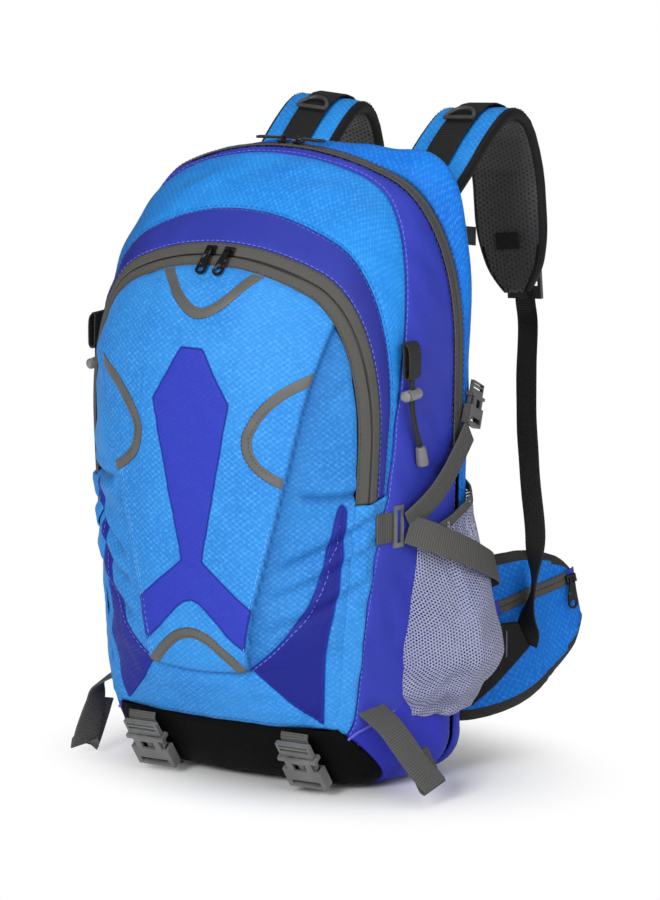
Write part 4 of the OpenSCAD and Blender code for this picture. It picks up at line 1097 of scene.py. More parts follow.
def front_relief(x, z):
    """Height of the front's cloth over its plain face."""
    ax = np.abs(x)
    p = arr(x, 0 * x, z)
    arrow, corner, _ = front_marks(x, z)
    up = ease((z - FOLD_Z + 16) / 50)
    rim = line_distance(OUTLINE, x, z)
    h = 1.5 * (1 - np.exp(-rim / 10)) * up - 1.2 * np.exp(-(rim / 2.2) ** 2) * up
    low = z - BASE_SEAM
    h += (-1.3 * np.exp(-(low / 2.4) ** 2)
          + 0.35 * np.sin(x / 3.1 + 2 * np.sin(x / 23)) * np.exp(-low / 9) * (1 - np.exp(-low / 2)))
    side = (ax - seam_x(z)) * 0.96
    below = z - low_seam(x)
    live = ease((below + 2) / 5)
    proud = 3.4 * ease((400 - z) / 60)
    step = np.where(side < 0, 1.6 * (1 - np.exp(np.minimum(side, 0) / 1.2)) + proud,
                    proud * np.clip(1 - side / 34, 0, 1)
                    - 2.6 * np.exp(-np.maximum(side, 0) / 4.5) * (1 - 0.6 * np.exp(-np.maximum(side, 0) / 0.8)))
    h += step * live
    across = np.exp(-(np.maximum(0, ax - 43) / 5) ** 2)
    h += across * np.where(below > 0, 0.9 * (1 - np.exp(-np.maximum(below, 0) / 1.5)),
                           -2.0 * np.exp(np.minimum(below, 0) / 5)) * (ax < 60)
    h -= 0.55 * np.exp(-(arrow / 1.0) ** 2)
    h += -1.1 * np.exp(-(corner / 1.7) ** 2) + 0.7 * (1 - np.exp(-np.abs(corner) / 8)) * ease((150 - z) / 60)
    run = x * 0.6 - z * 0.8
    h += 0.5 * np.sin(run * np.sign(x) / 1.9
                      + 1.5 * np.sin(run / 17)) * np.exp(-np.abs(corner) / 5) * (corner > 0)
    # folds of the slack side cloth where the pocket ends
    out = ease((ax - seam_x(z) - 4) / 14)
    sag = pocket_sag(ax)
    h += out * (2.4 * np.exp(-((z - sag - 6) / 5) ** 2) - 3.8 * np.exp(-((z - sag + 2) / 3.2) ** 2)
                + 2.2 * np.exp(-((z - sag + 12) / 7) ** 2))
    for c, d, s in ((206, 3.0, 6.0), (184, 2.4, 5.5), (158, 2.0, 5.5), (330, 1.4, 9.0)):
        line = flank_fold(c, ax)
        h += out * d * (np.exp(-((z - line) / s) ** 2) - np.exp(-((z - line + 1.6 * s) / s) ** 2))
    calm = 0.55 + 0.45 * out
    h += calm * 0.9 * waves(p, 21, 6, 34, 110) + 0.28 * waves(p, 22, 5, 12, 26)
    strip = np.exp(-((z - 78) / 22) ** 2) * (ax < 90)
    h += 0.45 * strip * waves(p * np.array([1, 1, 2.2]), 23, 5, 16, 40)
    return h


v_top = np.linspace(0.002, ZIP_END, 3000)
tx, tz = outline(v_top, POCKET_HALF - TAPE_D, POCKET_TOP - TAPE_D, BASE_RISE, CORNER_R)
tx = tx * taper(1.0, tz, POCKET_MID)
rows_z = np.concatenate([[421.8, 421.2, 420.2, 418.8], np.arange(417, FOLD_Z + 1, -2.1)])
rows_x = np.interp(-rows_z, -tz, tx)
v_low = np.linspace(ZIP_END, 1, 88)[1:]
edge = bag_point(run_at(v_low, np.ones_like(v_low)), np.ones_like(v_low))
low_x = edge[:, 0] - mix(TAPE_D * 0.985, TAPE_D, 0.5)
front_z, front_x = np.concatenate([rows_z, edge[:, 2]]), np.concatenate([rows_x, low_x])
s = np.sin(np.linspace(-1, 1, 141) * np.pi / 2 * 0.86) / math.sin(np.pi / 2 * 0.86)
X, Z = front_x[:, None] * s[None, :], np.repeat(front_z[:, None], 141, 1)
base_p = arr(X, face_y(X, Z), Z)
base_p, back = outward(base_p)
if back:
    X, Z = X[:, ::-1], Z[:, ::-1]
front_p = base_p + normals(base_p) * front_relief(X, Z)[..., None]
front = sheet_mesh("front_cloth", front_p, ["front", "lining"],
                   {"royal": front_marks(X, Z)[2], "shade": front_shade(X, Z)}, 1.3, (2.6, 2.6, 0, 0))
dress(front, None, "sky_fabric", "pocket_flap")
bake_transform(front)

for word, sign, _ in SIDES:
    v = np.concatenate([[ZIP_END], v_low])
    e1 = bag_point(run_at(v, np.ones_like(v)), np.ones_like(v))
    inner = np.concatenate([[rows_x[-1]], low_x])
    a = np.linspace(0, 1, 5)[None, :-1]
    fx = mix(inner[:, None], e1[:, :1], a)
    fz = np.repeat(e1[:, 2:], 4, 1)
    fp = arr(fx, face_y(fx, fz), fz)
    t = mix(1.0, gusset_edge(v)[:, None] + 0.003, np.linspace(0, 1, 12)[None, :])
    sp = bag_point(run_at(v[:, None] * np.ones((1, 12)), t), t)
    g = np.concatenate([fp, sp], 1)
    n = normals(g)
    if (n * (g - CENTRE)).sum() < 0:
        n = -n
    d_side = spans(g, 1)[:, -1:] - spans(g, 1)
    d_low = spans(g, 0)[-1:] - spans(g, 0)
    hf = front_relief(fx, fz)
    hs = (0.9 + 0.9 * (1 - np.exp(-d_side / 8)) - 0.5 * np.exp(-(d_side / 2.0) ** 2)
          - 1.2 * np.exp(-(d_low / 2.4) ** 2) + (0.9 if sign > 0 else 0.4) * waves(g, 31, 5, 22, 70))
    hs += (0.5 * np.sin(spans(g, 0) / 1.5 + 2 * np.sin(spans(g, 0) / 19)) * np.exp(-d_side / 7)
           * (1 - np.exp(-d_side / 1.2)))
    w = np.concatenate([np.ones((len(v), 4)),
                        1 - ease(np.linspace(0.1, 1.2, 12))[None, :] * np.ones((len(v), 1))], 1)
    whole = np.concatenate([hf, np.repeat(front_relief(e1[:, 0], e1[:, 2])[:, None], 12, 1)], 1)
    g = g + n * mix(hs, whole, w)[..., None]
    if sign < 0:
        g = mirrored(g)
    g, back = outward(g)
    obj = sheet_mesh("lower_side_cloth_" + word, g, ["front", "lining"],
                     {"royal": 0 * g[..., 0] - 20, "shade": 0 * g[..., 0]}, 1.3,
                     (2.6, 2.6, 0, 2.6) if not back else (2.6, 2.6, 2.6, 0))
    dress(obj, "front_shell", "sky_fabric", "lower_front")


def on_front(line, lift=0.0, step=2.0):
    """Points of an x, z line on the dressed front, with normals."""
    q = resample(np.asarray(line, float), step)
    e = 0.4
    f = lambda x, z: face_y(x, z) - front_relief(x, z)
    y = f(q[:, 0], q[:, 1])
    n = unit(arr((f(q[:, 0] + e, q[:, 1]) - y) / e, -np.ones(len(q)), (f(q[:, 0], q[:, 1] + e) - y) / e))
    return arr(q[:, 0], y, q[:, 1]) + n * lift, n


# Grey reflective trim, sewn on the front
TRIMS = {
    "top": [(-43.5, 419), (-33, 408.5), (-21.5, 397), (-10, 389.2), (0, 386.4), (10, 389.2), (21.5, 397),
            (33, 408.5), (43.5, 419)],
    "right": [(99, 344), (75, 329.5), (59, 313.5), (50.8, 299), (48.9, 290), (52, 278), (61.5, 267),
              (75.5, 258.5), (82, 255)],
    "arch": [(-41.5, 105), (-27.5, 119.4), (-14, 130), (0, 133.6), (14, 130), (27.5, 119.4), (41.5, 105)],
}
TRIMS["left"] = [(-x, z) for x, z in TRIMS["right"]]
for word, line in TRIMS.items():
    line = curve(line, 6)
    q = resample(line, 1.8)
    t = unit(np.gradient(q, axis=0))
    side = np.stack([-t[:, 1], t[:, 0]], -1)
    cols = []
    for off, rise in ((-4.1, 0.0), (-3.9, 0.5), (-3.2, 0.62), (-1.2, 0.66), (1.2, 0.66), (3.2, 0.62),
                      (3.9, 0.5), (4.1, 0.0)):
        c = q + side * off
        y = face_y(c[:, 0], c[:, 1])
        e = 0.4
        nx, nz = (face_y(c[:, 0] + e, c[:, 1]) - y) / e, (face_y(c[:, 0], c[:, 1] + e) - y) / e
        n = unit(arr(nx, -np.ones(len(c)), nz))
        smooth = front_relief(c[:, 0], c[:, 1]) - 3.0 * ease((1.2 - sdf(OUTLINE[::4], c[:, 0], c[:, 1]))
                                                             / 2.4) * (c[:, 1] > FOLD_Z + 60)
        smooth = smooth - 3.0 * ease((np.abs(c[:, 0]) - seam_x(c[:, 1]) + 1.6) / 1.6) * (
            word in ("right", "left"))
        cols.append(arr(c[:, 0], y, c[:, 1]) + n * (smooth + rise)[:, None])
    g = np.stack(cols, 1)
    g, _ = outward(g)
    obj = sheet_mesh("trim_" + word, g, ["reflect", "lining"], None, 0, (0.6, 0.6, 0.6, 0.6))
    dress(obj, None, "zip_tape")
    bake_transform(obj)


def sew_front(name, lines, key, lift=0.0, **kw):
    obj = stitches(name, [on_front(q, lift) for q in lines], key, **kw)
    dress(obj, None, "sky_fabric")
    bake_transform(obj)


def shifted(line, d):
    q = resample(np.asarray(line, float), 2.0)
    t = unit(np.gradient(q, axis=0))
    return q + np.stack([-t[:, 1], t[:, 0]], -1) * d


z = np.linspace(110, 372, 90)
seam = np.stack([seam_x(z), z], -1)
flip = np.array([-1.0, 1])
sew_front("panel_stitch", [shifted(seam, 2.6), shifted(seam * flip, -2.6), shifted(seam * flip, -5.4)],
          "pale_thread", radius=0.3)
corner = curve(CORNER_IN, 6)[2:]
sew_front("corner_stitch", [shifted(corner, 2.2), shifted(corner * flip, -2.2)], "violet_thread", radius=0.34)
sew_front("corner_edge_stitch", [shifted(corner, -2.2), shifted(corner * flip, 2.2)], "blue_thread", radius=0.3)
sewn = [TRIMS["arch"]] + [TRIMS[word][1:-1] for word in ("right", "left", "top")]
sew_front("trim_stitch", [shifted(curve(line, 6), d)[2:-2] for line in sewn for d in (-3.0, 3.0)],
          "dark_thread", 0.66, length=2.2, gap=1.4, radius=0.3)
x = np.linspace(-86, 86, 60)
sew_front("low_stitch", [np.stack([x, 57.5 + 0 * x], -1)], "blue_thread", radius=0.3)

# Base of coated cloth, rising to a lip at the front
BASE_BACK = (ZIP_Y - BACK_Y + 7) / DEPTH


def base_row(t, low, seam, ahead=0.0):
    w = float(width_at(t)) - np.interp(t, [BASE_BACK, BASE_BACK / 2, 0], [22, 4, 0])
    turn = math.asin(min(1.0, max(0.0, (low + CORNER_R - seam) / CORNER_R)))
    k = np.linspace(0, 1, 14)
    a = mix(turn, math.pi / 2, k)
    x = w - CORNER_R + CORNER_R * np.cos(a) - 9.2 * k * ease((turn - 1.2) / 0.37)
    z = np.minimum(low + CORNER_R - CORNER_R * np.sin(a), max(seam, low))
    x, z = np.concatenate([x, x[-1] * (1 - np.linspace(0, 1, 40)[1:])]), np.concatenate([z, np.full(39, low)])
    x = x * taper(t, z, float(mid_at(t)))
    y = depth_at(t) + set_back(x, t) * np.interp(t, [BASE_BACK, BASE_BACK / 2], [0, 1]) - ahead
    right = arr(x, y, z)
    return np.concatenate([right, mirrored(right[:-1])[::-1]])


rows = [base_row(t, float(floor_at(t)), float(seam_at(t)) - 0.4) for t in np.linspace(BASE_BACK, 1, 58)]
rows += [base_row(1.0, BASE_RISE + 5 * k, BASE_SEAM - 0.4, 3 * k) for k in (0.5, 1.0)]
rows += [base_row(1.0, BASE_SEAM - 0.4 + d, BASE_SEAM - 0.4 + d, a)
         for d, a in ((0.0, 2.2), (2.0, 0.2), (6.0, -1.4))]
panel("base_cloth", np.array(rows), ["base", "lining"], "pack", "coated_base", ["base_panel"], 41,
      puff=0.2, groove=0.3, pucker=0.35, folds=0.45)

# Webbing
RING_T, TAB_Z, VEE_X = 0.715, 218.0, HALF_W + 2.5
VEE = side_point(RING_T, TAB_Z, 6.6) + [0.6, 8.4, 0]
for word, sign, full in (("right", 1.0, 1.0), ("left", -1.0, 0.42)):
    m = np.array([sign, 1, 1])
    high = np.array([VEE + [0, 0, 2], [VEE_X + 2, 4, 239], [VEE_X + 4.5, 32, 262], [VEE_X + 4, 56, 283]])
    low = np.array([VEE - [0, 0, 3], [VEE_X + 9 * full, -2, 205], [VEE_X + 22 * full, 20, 193],
                    [VEE_X + 27 * full, 42, 182],
                    [VEE_X + 23.5 * full, 66, 171], [VEE_X + 5, 88, 161]])
    pair = [strap("vee_a", curve(high, 8) * m, np.array([0.1, -0.75, 0.66]) * m, WEBBING, WEBBING_T,
                  "grey_web"),
            strap("vee_b", curve(low, 8) * m, np.array([-0.35, 0.15, 0.93]) * m, WEBBING, WEBBING_T,
                  "grey_web")]
    vee = dress(join("compression_vee_" + word, pair), None, "webbing_grey", "compression_straps")
    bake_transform(vee)

line = curve([[-43, BACK_Y + 11.4, 460], [-41, BACK_Y + 12, 474], [-28, BACK_Y + 15, 488],
              [0, BACK_Y + 16, 493],
              [28, BACK_Y + 15, 488], [41, BACK_Y + 12, 474], [43, BACK_Y + 11.4, 460]], 8)
dress(strap("haul_loop_webbing", line, np.array([0, 1.0, 0]), 22, 3, "black_web"), "pack", "webbing_black",
      "haul_loop")

PAD_ROUTE = curve([[66, BACK_Y + 10, 430], [68, BACK_Y + 32, 450], [70, BACK_Y + 62, 474],
                   [71, BACK_Y + 94, 499],
                   [72, BACK_Y + 126, 515], [74, BACK_Y + 154, 506], [76, BACK_Y + 172, 466],
                   [80, BACK_Y + 172, 424],
                   [84, BACK_Y + 172, 388], [87, BACK_Y + 172, 362]], 3)
PAD_END = PAD_ROUTE[-1]
ANCHOR_END = np.array([171, BACK_Y + 40, 112])
for word, sign, m in SIDES:
    line = curve([[124, BACK_Y + 2, 84], [146, BACK_Y + 14, 92], [168, BACK_Y + 38, 105]], 8)
    k = np.linspace(0, 1, len(line))
    w = mix(42, WEBBING / 2 + 1, k)
    line = line - np.stack([0 * w, 0 * w, 0.1 * w], -1)
    dress(strap("strap_anchor_" + word, line * m, np.array([0, 0, 1.0]), 1.8 * w, 4, "black", 2.0), "pack",
          "black_fabric", "strap_anchors")
    slot = arr(line[-6:, 0] * 0 + line[-5, 0], line[-5, 1] + 0 * line[-6:, 1],
               np.linspace(line[-5, 2] - 11, line[-5, 2] + 11, 6)) + [1.2, -2.2, 0]
    dress(tube("anchor_stitch_" + word, slot * m, 0.6, "grey_thread", 6), "pack", "black_fabric")
    line = curve([PAD_END + [-1, 11.4, 14], PAD_END + [1, 11.8, -9], PAD_END + [6, 7, -30],
                  [122, BACK_Y + 124, 286], [150, BACK_Y + 78, 238],
                  [173, BACK_Y + 47, 188], [179, BACK_Y + 35, 150], ANCHOR_END, [166.5, BACK_Y + 41.5, 96]], 14)
    k = np.minimum(1, 1.07 * np.linspace(0, 1, len(line)))
    a = np.radians(52 + 34 * ease((k - 0.68) / 0.14) - 62 * ease((k - 0.84) / 0.16))
    t = unit(np.gradient(line, axis=0))
    flat = unit(np.cross(t, [0.5, -0.84, 0.19]))
    turn = flat * np.cos(a)[:, None] + np.cross(t, flat) * np.sin(a)[:, None]
    web = strap("lower_webbing_" + word, line * m, turn * m, WEBBING, WEBBING_T, "black_web")
    dress(web, None, "webbing_black", "lower_webbing")
    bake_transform(web)

BUCKLE_DOWN = np.array([0, 0.6, -0.8])
BUCKLE_OUT = np.cross([1.0, 0, 0], BUCKLE_DOWN)
BUCKLE_TOP = np.array([72, POCKET_Y - 7, BASE_SEAM - 11])
for word, sign, m in SIDES:
    line = curve([BUCKLE_TOP + BUCKLE_DOWN * 48.5 + [0, 0.5, 0.4], [72, POCKET_Y + 26, 5.4],
                  [72, POCKET_Y + 33, 1.6], [72, POCKET_Y + 37, 1.2]], 6)
    dress(strap("base_strap_" + word, line * m, np.array([1.0, 0, 0]), WEBBING, WEBBING_T, "grey_web", 1.5),
          "pack", "webbing_grey", "base_straps")
    line = curve([BUCKLE_TOP + BUCKLE_DOWN * 3 + BUCKLE_OUT * 2,
                  BUCKLE_TOP - BUCKLE_DOWN * 3 + BUCKLE_OUT * 2.4, [72, POCKET_Y - 6.2, BASE_SEAM - 2]], 6)
    tab = strap("base_tab_" + word, line * m, np.array([1.0, 0, 0]), WEBBING, 2.4, "grey_web", 1.2)
    dress(tab, None, "webbing_grey", "base_tabs")
    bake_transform(tab)
    line = [side_point(t, TAB_Z, 1.8) for t in (0.93, 0.875, 0.82, RING_T + 0.053)]
    dress(strap("strap_tab_" + word, curve(line, 4) * m, np.array([0, 0, 1.0]), WEBBING, 2, "grey_web", 1.5),
          "front_shell", "webbing_grey", "strap_tabs")
    x0 = float(width_at(0.6)) - 5
    if sign > 0:
        line, side = [[x0, -42, 60], [x0 + 9, -41, 50], [x0 + 24, -38, 30], [x0 + 36, -33, 15],
                      [x0 + 38.4, -32, 11.8], [x0 + 36.4, -31, 9.8],
                      [x0 + 32, -29.5, 12.5], [x0 + 23, -26, 25], [x0 + 14, -23, 36]], np.array([0.25, 1, 0.35])
    else:
        line, side = [[x0, -42, 60], [x0 + 5, -41, 46], [x0 + 12, -40, 24], [x0 + 17, -38, 8],
                      [x0 + 19.5, -35, 5], [x0 + 18, -32, 9],
                      [x0 + 12, -30, 28], [x0 + 8, -28, 44]], None
    line = [[float(side_x(-50.0, 72.0)) - 3.0, -40, 74]] + line
    line = curve(line, 8)
    if side is None:
        side = mix(np.array([0.25, 0.95, 0.1]), np.array([-0.45, 0.85, 0.1]),
                   ease(2 * np.linspace(0, 1, len(line)))[:, None])
    dress(strap("pole_loop_" + word, line * m, side * m, WEBBING, WEBBING_T, "grey_web", 2.0), "front_shell",
          "webbing_grey", "pole_loops")
    tab = [[-3.2, 30], [-2.7, 8], [-2.3, 3], [0, 1], [2.3, 3], [2.7, 8], [2.6, 20], [1.6, 26], [-1.2, 29.5]]
    line = np.array([[KEEPER_X + x, KEEPER_Y, TAB_LOW + z] for x, z in tab])
    dress(strap("pole_tab_" + word, curve(line, 6) * m, np.array([0, 1.0, 0]), 18, 1.7, "charcoal_web", 1.0,
                wear=0), "front_shell", "webbing_grey", "pole_tabs")

STERNUM_Y, STERNUM_Z = BACK_Y + 172, 406
for word, sign, last in (("right", 1.0, 15.3), ("left", -1.0, 15.7)):
    line = np.array([[last * sign, STERNUM_Y - 0.1, STERNUM_Z], [30 * sign, STERNUM_Y - 0.1, STERNUM_Z],
                     [46.2 * sign, STERNUM_Y - 0.1, STERNUM_Z]])
    web = dress(strap("chest_strap_" + word, line, np.array([0, 0, 1.0]), 16, WEBBING_T, "grey_web", 1.5,
                      wear=0), None, "webbing_grey", "sternum_straps")
    if sign > 0:
        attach(web, "harness")
    else:
        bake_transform(web)


# Padded pieces
ACROSS = np.array([0, 0.12, 0.25, 0.36, 0.41, 0.46, 0.53, 0.6, 0.66, 0.70, 0.725, 0.75, 0.8, 0.86, 0.92, 0.96,
                   0.985, 1.0])
ACROSS = np.concatenate([ACROSS[::-1], -ACROSS[1:]])
ACROSS = np.concatenate([ACROSS, ACROSS[-2:0:-1]])
FACE = np.where(np.arange(len(ACROSS)) < 35, 1.0, -1.0)


class Pad:
    """A padded strip along a route: an outer face, an inner face and a bound rim."""

    def __init__(self, name, route, side, widths, thicks, materials, rim, plain=0.0):
        t = unit(np.gradient(route, axis=0))
        self.route, self.widths, self.thicks = route, widths, thicks
        self.n = unit(np.cross(side, t))
        self.a = unit(np.cross(t, self.n))
        x, inner = ACROSS[None, :] * widths[:, None] / 2, (1 - np.abs(ACROSS))[None, :] * widths[:, None] / 2
        lip = 0.8 * ease((rim + 0.5 - inner) / 1.4)
        crown = np.sqrt(1 - np.abs(ACROSS) ** 6)[None, :]
        y = FACE[None, :] * crown * (thicks[:, None] / 2 + lip - plain * (1 - lip / 0.8))
        self.p = route[:, None] + self.a[:, None] * x[..., None] + self.n[:, None] * y[..., None]
        m, k = self.p.shape[:2]
        run = np.concatenate([[0], np.cumsum(np.linalg.norm(np.diff(route, axis=0), axis=1))])
        uv = arr(x + np.where(FACE > 0, 0, 200)[None, :], run[:, None])
        faces = grid_faces(m, k, True).tolist() + [list(range(k)),
                                                   [(m - 1) * k + i for i in range(k - 1, -1, -1)]]
        mid = (inner + np.roll(inner, -1, 1))[:-1] / 2
        index = np.where(mid < rim, 1, np.where(((FACE > 0) & (np.roll(FACE, -1) > 0))[None, :], 0, 2))
        self.x, self.inner = x, inner
        self.obj = face_out(make(name, self.p, faces, materials, uv, None,
                                 np.concatenate([index.ravel(), [1, 1]])))

    def hold(self, more, rim):
        """Fill the pad, holding its rim, its ends and other points."""
        fixed = more | (self.inner < rim)
        fixed[:2] = fixed[-2:] = True
        inflate(self.obj, np.nonzero(fixed.ravel())[0], 3.0)

    def line(self, x, lift, first=0.0, last=1.0):
        """A line on the outer face at a distance across, with its normals."""
        i = np.arange(int(first * (len(self.route) - 1)), int(last * (len(self.route) - 1)) + 1)
        x = np.broadcast_to(x, (len(self.route),))[i] if np.ndim(x) else np.full(len(i), float(x))
        y = np.sqrt(np.clip(1 - np.abs(2 * x / self.widths[i]) ** 6, 0, 1)) * self.thicks[i] / 2 + lift
        return self.route[i] + self.a[i] * x[:, None] + self.n[i] * y[:, None], self.n[i]


def reflect(obj, sign):
    if sign < 0:
        v = np.empty(len(obj.data.vertices) * 3)
        obj.data.vertices.foreach_get("co", v)
        obj.data.vertices.foreach_set("co", (v.reshape(-1, 3) * np.array([-1.0, 1, 1])).ravel())
        obj.data.flip_normals()
    return obj


route = resample(PAD_ROUTE, 4.0)
k = np.linspace(0, 1, len(route))
widths = 68 * mix(0.92, 1, ease(4 * k)) * mix(1, 0.5, (np.maximum(0, k - 0.8) / 0.2) ** 2)
widths = widths * np.sqrt(1 - (np.maximum(0, k - 0.92) / 0.08 * 0.7) ** 2)
side = np.tile([1, 0, 0.06], (len(route), 1))
thicks = (PAD_T - 1.2) * np.sqrt(1 - (np.maximum(0, k - 0.94) / 0.06 * 0.75) ** 2)
t = unit(np.gradient(PAD_ROUTE, axis=0))
up = unit(np.cross(np.tile([1, 0, 0.06], (len(PAD_ROUTE), 1)), t))
for word, sign, m in SIDES:
    pad = Pad("shoulder_pad_" + word, route, side, widths, thicks, ["sky", "black", "pad"], 5.4, 0.6)
    pad.hold((np.abs(pad.x) < 14.5) & (FACE > 0)[None, :], 6.2)
    dress(reflect(pad.obj, sign), "harness", "pad_mesh", "shoulder_pads")
    rows = []
    for side_sign in (1.0, -1.0):
        q, n = pad.line(side_sign * (widths / 2 - 3.9), 0.75, 0.03, 0.93)
        rows.append((q * m, n * m))
    dress(stitches("pad_stitch_" + word, rows, "binding", 2.8, 1.8, 0.36, 0.3), "harness", "black_fabric")
    i = int(np.argmin(np.abs(route[:, 2] - STERNUM_Z) + 200 * (k < 0.5)))
    spot = route[i] - pad.n[i] * (PAD_T / 2 + 1.6)
    dress(strap("pad_patch_" + word, np.array([spot - pad.a[i] * 11, spot, spot + pad.a[i] * 11]) * m,
                np.array([0, 0, 1.0]), 14, 1.4, "black_web", 1.5, wear=0),
          "harness", "webbing_black")
    lift = PAD_ROUTE + up * (PAD_T / 2 + WEBBING_T / 2 + 0.7)
    dress(strap("pad_webbing_" + word, lift[1:18] * m, np.array([1, 0, 0.06]) * m, WEBBING + 2, WEBBING_T,
                "black_web"), "harness", "webbing_black", "shoulder_webbing")

WING_ROUTE = curve([[92, BACK_Y + 14, 96], [120, BACK_Y + 18, 98], [146, BACK_Y + 34, 105],
                    [163, BACK_Y + 56, 115],
                    [176, BACK_Y + 80, 122], [183, BACK_Y + 98, 127]], 3)
WING_DIR = unit(WING_ROUTE[14] - WING_ROUTE[8])
WING_OUT = unit(np.cross(WING_DIR, [0, 0, 1.0]))
route = resample(WING_ROUTE, 3.0)
k = np.linspace(0, 1, len(route))
widths = mix(138, 62, k ** 3) * np.where(k > 0.9, np.sqrt(np.clip(1 - ((k - 0.9) / 0.1 * 0.66) ** 2, 0, 1)), 1)
thicks = WING_T * np.minimum(1, 0.7 + 3 * np.minimum(k, 1 - k)) - 1.6
for word, sign, m in SIDES:
    pad = Pad("hip_wing_pad_" + word, route, np.tile([0, 0, -1.0], (len(route), 1)), widths, thicks,
              ["wing", "binding", "pad"], 8.0, 0.5)
    up = np.sign(pad.a[0, 2])
    pad.hold((np.abs(pad.x - 20 * up) < 7.5) & (FACE > 0)[None, :] & (k > 0.4)[:, None], 8.6)
    dress(reflect(pad.obj, sign), "hip_" + word, "sky_fabric", "hip_wing_" + word)
    q, n = pad.line(20.0 * up, 0.4, 0.44, 0.965)
    dress(strap("hip_zip_tape_" + word, q * m, np.array([0, 0, 1.0]), 11, 0.8, "tape", 2.0, wear=0),
          "hip_" + word, "zip_tape")
    dress(tube("hip_zip_coil_" + word, q * m + n * m * 0.1, 0.7, "coil", 6), "hip_" + word, "zip_tape")
    rows = [pad.line((20.0 + d) * up, 0.7, 0.44, 0.965) for d in (-4.9, 4.9)]
    dress(stitches("hip_zip_stitch_" + word, [(q * m, n * m) for q, n in rows], "dark_thread", 2.4, 1.5, 0.3,
                   0.3), "hip_" + word, "zip_tape")
    for tag, at in (("root", 0.435), ("tip", 0.955)):
        q, n = pad.line(20.0 * up, 1.0, at, min(1, at + 0.05))
        dress(strap("hip_zip_end_%s_%s" % (tag, word), q * m, np.array([0, 0, 1.0]), 13, 0.8, "royal", 1.0,
                    wear=0), "hip_" + word, "royal_fabric")
    end = WING_ROUTE[14] - WING_OUT * (WING_T / 2 + 3)
    buckle = WING_ROUTE[10] - WING_OUT * (WING_T / 2 + 19)
    line = curve([end, mix(end, buckle, 0.5) - WING_OUT * 2, buckle + WING_DIR * 7], 8)
    dress(strap("hip_webbing_cloth_" + word, line * m, np.array([0, 0, 1.0]), WEBBING, WEBBING_T, "black_web",
                1.5), "hip_" + word, "webbing_black", "hip_webbing_" + word)

# Side pockets of net with a bound hem
for word, sign, m in SIDES:
    k, q = np.meshgrid(np.linspace(0, 1, 64), np.linspace(0, 1, 64), indexing="xy")
    first = -12 + 10 * ease((q - 0.35) / 0.6) + 12 * ease((0.14 - q) / 0.14)
    y, z = mix(first, BACK_Y - 8, k), mix(58, mix(204, 238, k), q)
    swell = np.sin(np.pi * mix(0.0, 0.975, k)) ** 0.55
    out = (1 if sign > 0 else 0.2) * (mix(9, 43, ease(3.2 * q) ** 0.7)
                                      - 37 * ease(1.5 * q - 0.5)) * swell + (1.6 if sign > 0 else 3.2)
    root = np.maximum(side_x(y, z), mix(0, HALF_W - 0.5, ease(3 * k) * (1 - ease((k - 0.72) / 0.2))))
    g = arr(root + out, y, z)
    low = np.stack([arr(side_x(y[0], z[0]) * (1 - f) + (root[0] + out[0]) * f, y[0],
                        z[0] - 3 * math.sin(math.pi * f) * swell[0]) for f in np.linspace(0, 1, 10)[:-1]])
    g = np.concatenate([low, g]) * m
    g, _ = outward(g)
    d = spans(g, 0)[-1:] - spans(g, 0)
    x = spans(g, 1)
    pleat = (1.1 * np.sin(x / 1.75 + 1.6 * np.sin(x / 11)) * np.exp(-d / 26)
             + 1.3 * np.sin(x / 2.9 + 1.2 * np.sin(x / 17))
             * np.exp(-(spans(g, 0) - 20) ** 2 / 2200)) + 1.6 * waves(g, 51, 5, 22, 60)
    g = g + normals(g) * (pleat * np.sin(np.pi * np.clip(mix(0.03, 0.97, x / x[:, -1:]), 0, 1)))[..., None]
    net = sheet_mesh("side_net_" + word, g, ["net"], None, 0, (0, 0, 0, 0))
    dress(net, None, "side_mesh", "mesh_pockets")
    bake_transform(net)
    smooth = np.stack([np.convolve(np.pad(g[-1][:, i], 6, mode="edge"), np.ones(13) / 13,
                                   "valid") for i in range(3)], -1)
    hem = strap("net_hem_" + word, smooth + np.array([0.8 * sign, 0, -2.0]), np.array([0, -0.3, 1.0]), 8, 1.6,
                "grey_web", 2.0, wear=0)
    dress(hem, None, "webbing_grey")
    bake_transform(hem)

# Back panel and its pads
zz = np.concatenate([[484.6, 484, 483], np.arange(481, 3, -4.0), [2.0]])
u = np.linspace(0.0, 1, 3000)
ox, oz = outline(u, HALF_W - 20.8 - 0.4, BAG_H - 20.8 - 0.4, 0.4, CORNER_R)
ox = ox * taper(0.0, oz, mid_at(0.0))
reach = np.interp(-zz, -oz, ox)
s = np.sin(np.linspace(-1, 1, 72) * np.pi / 2 * 0.9) / math.sin(np.pi / 2 * 0.9)
X, Z = reach[:, None] * s[None, :], np.repeat(zz[:, None], 72, 1)
rim = sdf(np.concatenate([np.stack([ox, oz], -1)[::20], np.stack([-ox, oz], -1)[::-20]]), X, Z)
rim = np.maximum(rim, 0)
g = arr(X, BACK_Y - 1.2 + 1.0 * (1 - np.exp(-rim / 8)) + 0.25 * waves(arr(X, 0 * X, Z), 61, 5, 30, 90), Z)
g, _ = outward(g)
dress(sheet_mesh("back_cloth", g, ["pad", "lining"], None, 3.0, (2.6, 2.6, 2.6, 2.6)), "pack", "black_fabric",
      "back_panel")


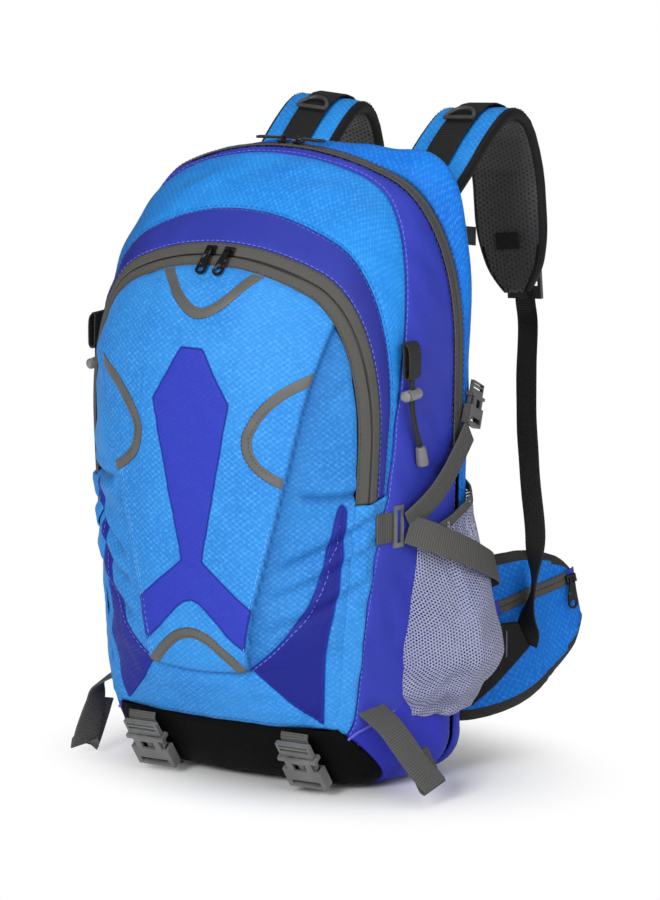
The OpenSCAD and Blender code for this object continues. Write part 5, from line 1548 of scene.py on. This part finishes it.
def back_pad(name, a, b, radius, depth):
    """A crowned pad along a line, sewn to the back all round."""
    a, b = np.asarray(a, float), np.asarray(b, float)
    w = 2 * np.pi * np.arange(72) / 72
    rings = []
    for r in np.concatenate([np.linspace(0.04, 0.9, 16), [0.94, 0.97, 0.99, 1.0]]):
        c, s = np.cos(w) * radius * r, np.sin(w) * radius * r
        if abs(b[0] - a[0]) > 1:
            x = np.where(c >= 0, b[0], a[0]) + c
            x = np.where(np.abs(np.cos(w)) < 1e-6, mix(a[0], b[0], 0.5), x)
            z = a[1] + s
        else:
            x, z = a[0] + c, np.where(s >= 0, b[1], a[1]) + s
        h = (depth - 2.2) * (1 - r ** 3.2) ** 0.75
        rings.append(arr(x, BACK_Y + h, z))
    g = np.array(rings)
    g = g + arr(0 * g[..., 0], 0.35 * waves(g, 62, 4, 20, 50) * (g[..., 1] > BACK_Y + 2), 0 * g[..., 0])
    uv = g[..., [0, 2]]
    faces = grid_faces(*g.shape[:2], True).tolist() + [list(range(72))]
    obj = make(name, g, faces, ["pad"], uv)
    if np.array([q.normal[1] for q in obj.data.polygons]).mean() < 0:
        obj.data.flip_normals()
    inflate(obj, np.arange(17 * 72, 20 * 72), 2.2)
    dress(obj, "pack", "pad_mesh", "back_pads")
    ring = np.concatenate([g[-1], g[-1][:1]])
    dress(tube(name + "_piping", resample(ring, 3.0) + np.array([0, 0.6, 0]), 1.5, "binding", 7), "pack",
          "black_fabric")


back_pad("back_pad_right", (62, 190), (62, 366), 35.5, 10.2)
back_pad("back_pad_left", (-62, 190), (-62, 366), 35.5, 10.2)
back_pad("lumbar_pad", (-42, 105), (42, 105), 35.5, 11.2)

# Inner wall and sleeve
w = float(width_at(0.94)) - 4.4
ox, oz = outline(np.linspace(0, 0.86, 3000), w, float(top_at(0.84)) - 4.4, 0.0, CORNER_R)
ox = ox * taper(1.0, oz, POCKET_MID)
zz = np.linspace(oz[0] - 0.5, oz[-1], 60)
X, Z = np.interp(-zz, -oz, ox)[:, None] * np.linspace(-1, 1, 40)[None, :], np.repeat(zz[:, None], 40, 1)
g = arr(X, depth_at(0.8) + 1.2 + 0.3 * waves(arr(X, 0 * X, Z), 71, 5, 40, 120), Z)
g, _ = outward(g, np.array([0, 60.0, 230]))
dress(sheet_mesh("pocket_divider_cloth", g, ["lining", "lining"], None, 1.2, (0, 0, 0, 0)), "front_shell",
      "lining", "pocket_divider")
X, Z = np.meshgrid(np.linspace(-111.5, 111.5, 50), np.linspace(312, 13, 70))
g = arr(X, BACK_Y - 23.5 + 12.5 * ease((np.abs(X) - 92) / 19.5) + 0.7 * waves(arr(X, 0 * X, Z), 72, 5, 40, 120),
        Z)
g, _ = outward(g, np.array([0, 200.0, 160]))
dress(sheet_mesh("inner_sleeve_cloth", g, ["lining", "lining"], None, 1.2, (0, 0, 0, 0)), "pack", "lining",
      "inner_sleeve")
dress(strap("sleeve_hem", np.stack([g[0][:, 0], g[0][:, 1] - 0.2, g[0][:, 2] - 5], -1), np.array([0, 0, 1.0]),
            12, 2.2, "black_web", 3.0, wear=0), "pack", "webbing_black")

# Plastic and metal parts of the frame
FINISH = {
    "buckle": ["strap_rings", "sternum_socket", "sternum_plug", "base_sockets", "base_plug_left",
               "base_plug_right", "cord_ends"],
    "pale_plastic": ["cord_locks", "cord_button_left", "cord_button_right"],
    "dark_plastic": ["compression_buckles", "d_ring_left", "d_ring_right", "ladder_locks", "hip_socket",
                     "hip_plug"],
    "enamel": ["main_slider_left", "main_slider_right", "main_pull_left", "main_pull_right",
               "pocket_slider_left", "pocket_slider_right",
               "pocket_pull_left", "pocket_pull_right", "hip_slider_left", "hip_slider_right"],
    "board": ["frame_sheet"],
}
for key, names in FINISH.items():
    for name in names:
        obj = NODES[name]
        for slot in obj.material_slots:
            slot.material = M[key]
        edge = obj.modifiers.new("edges", "BEVEL")
        edge.width, edge.segments, edge.limit_method, edge.angle_limit = 0.0005, 2, "ANGLE", math.radians(35)
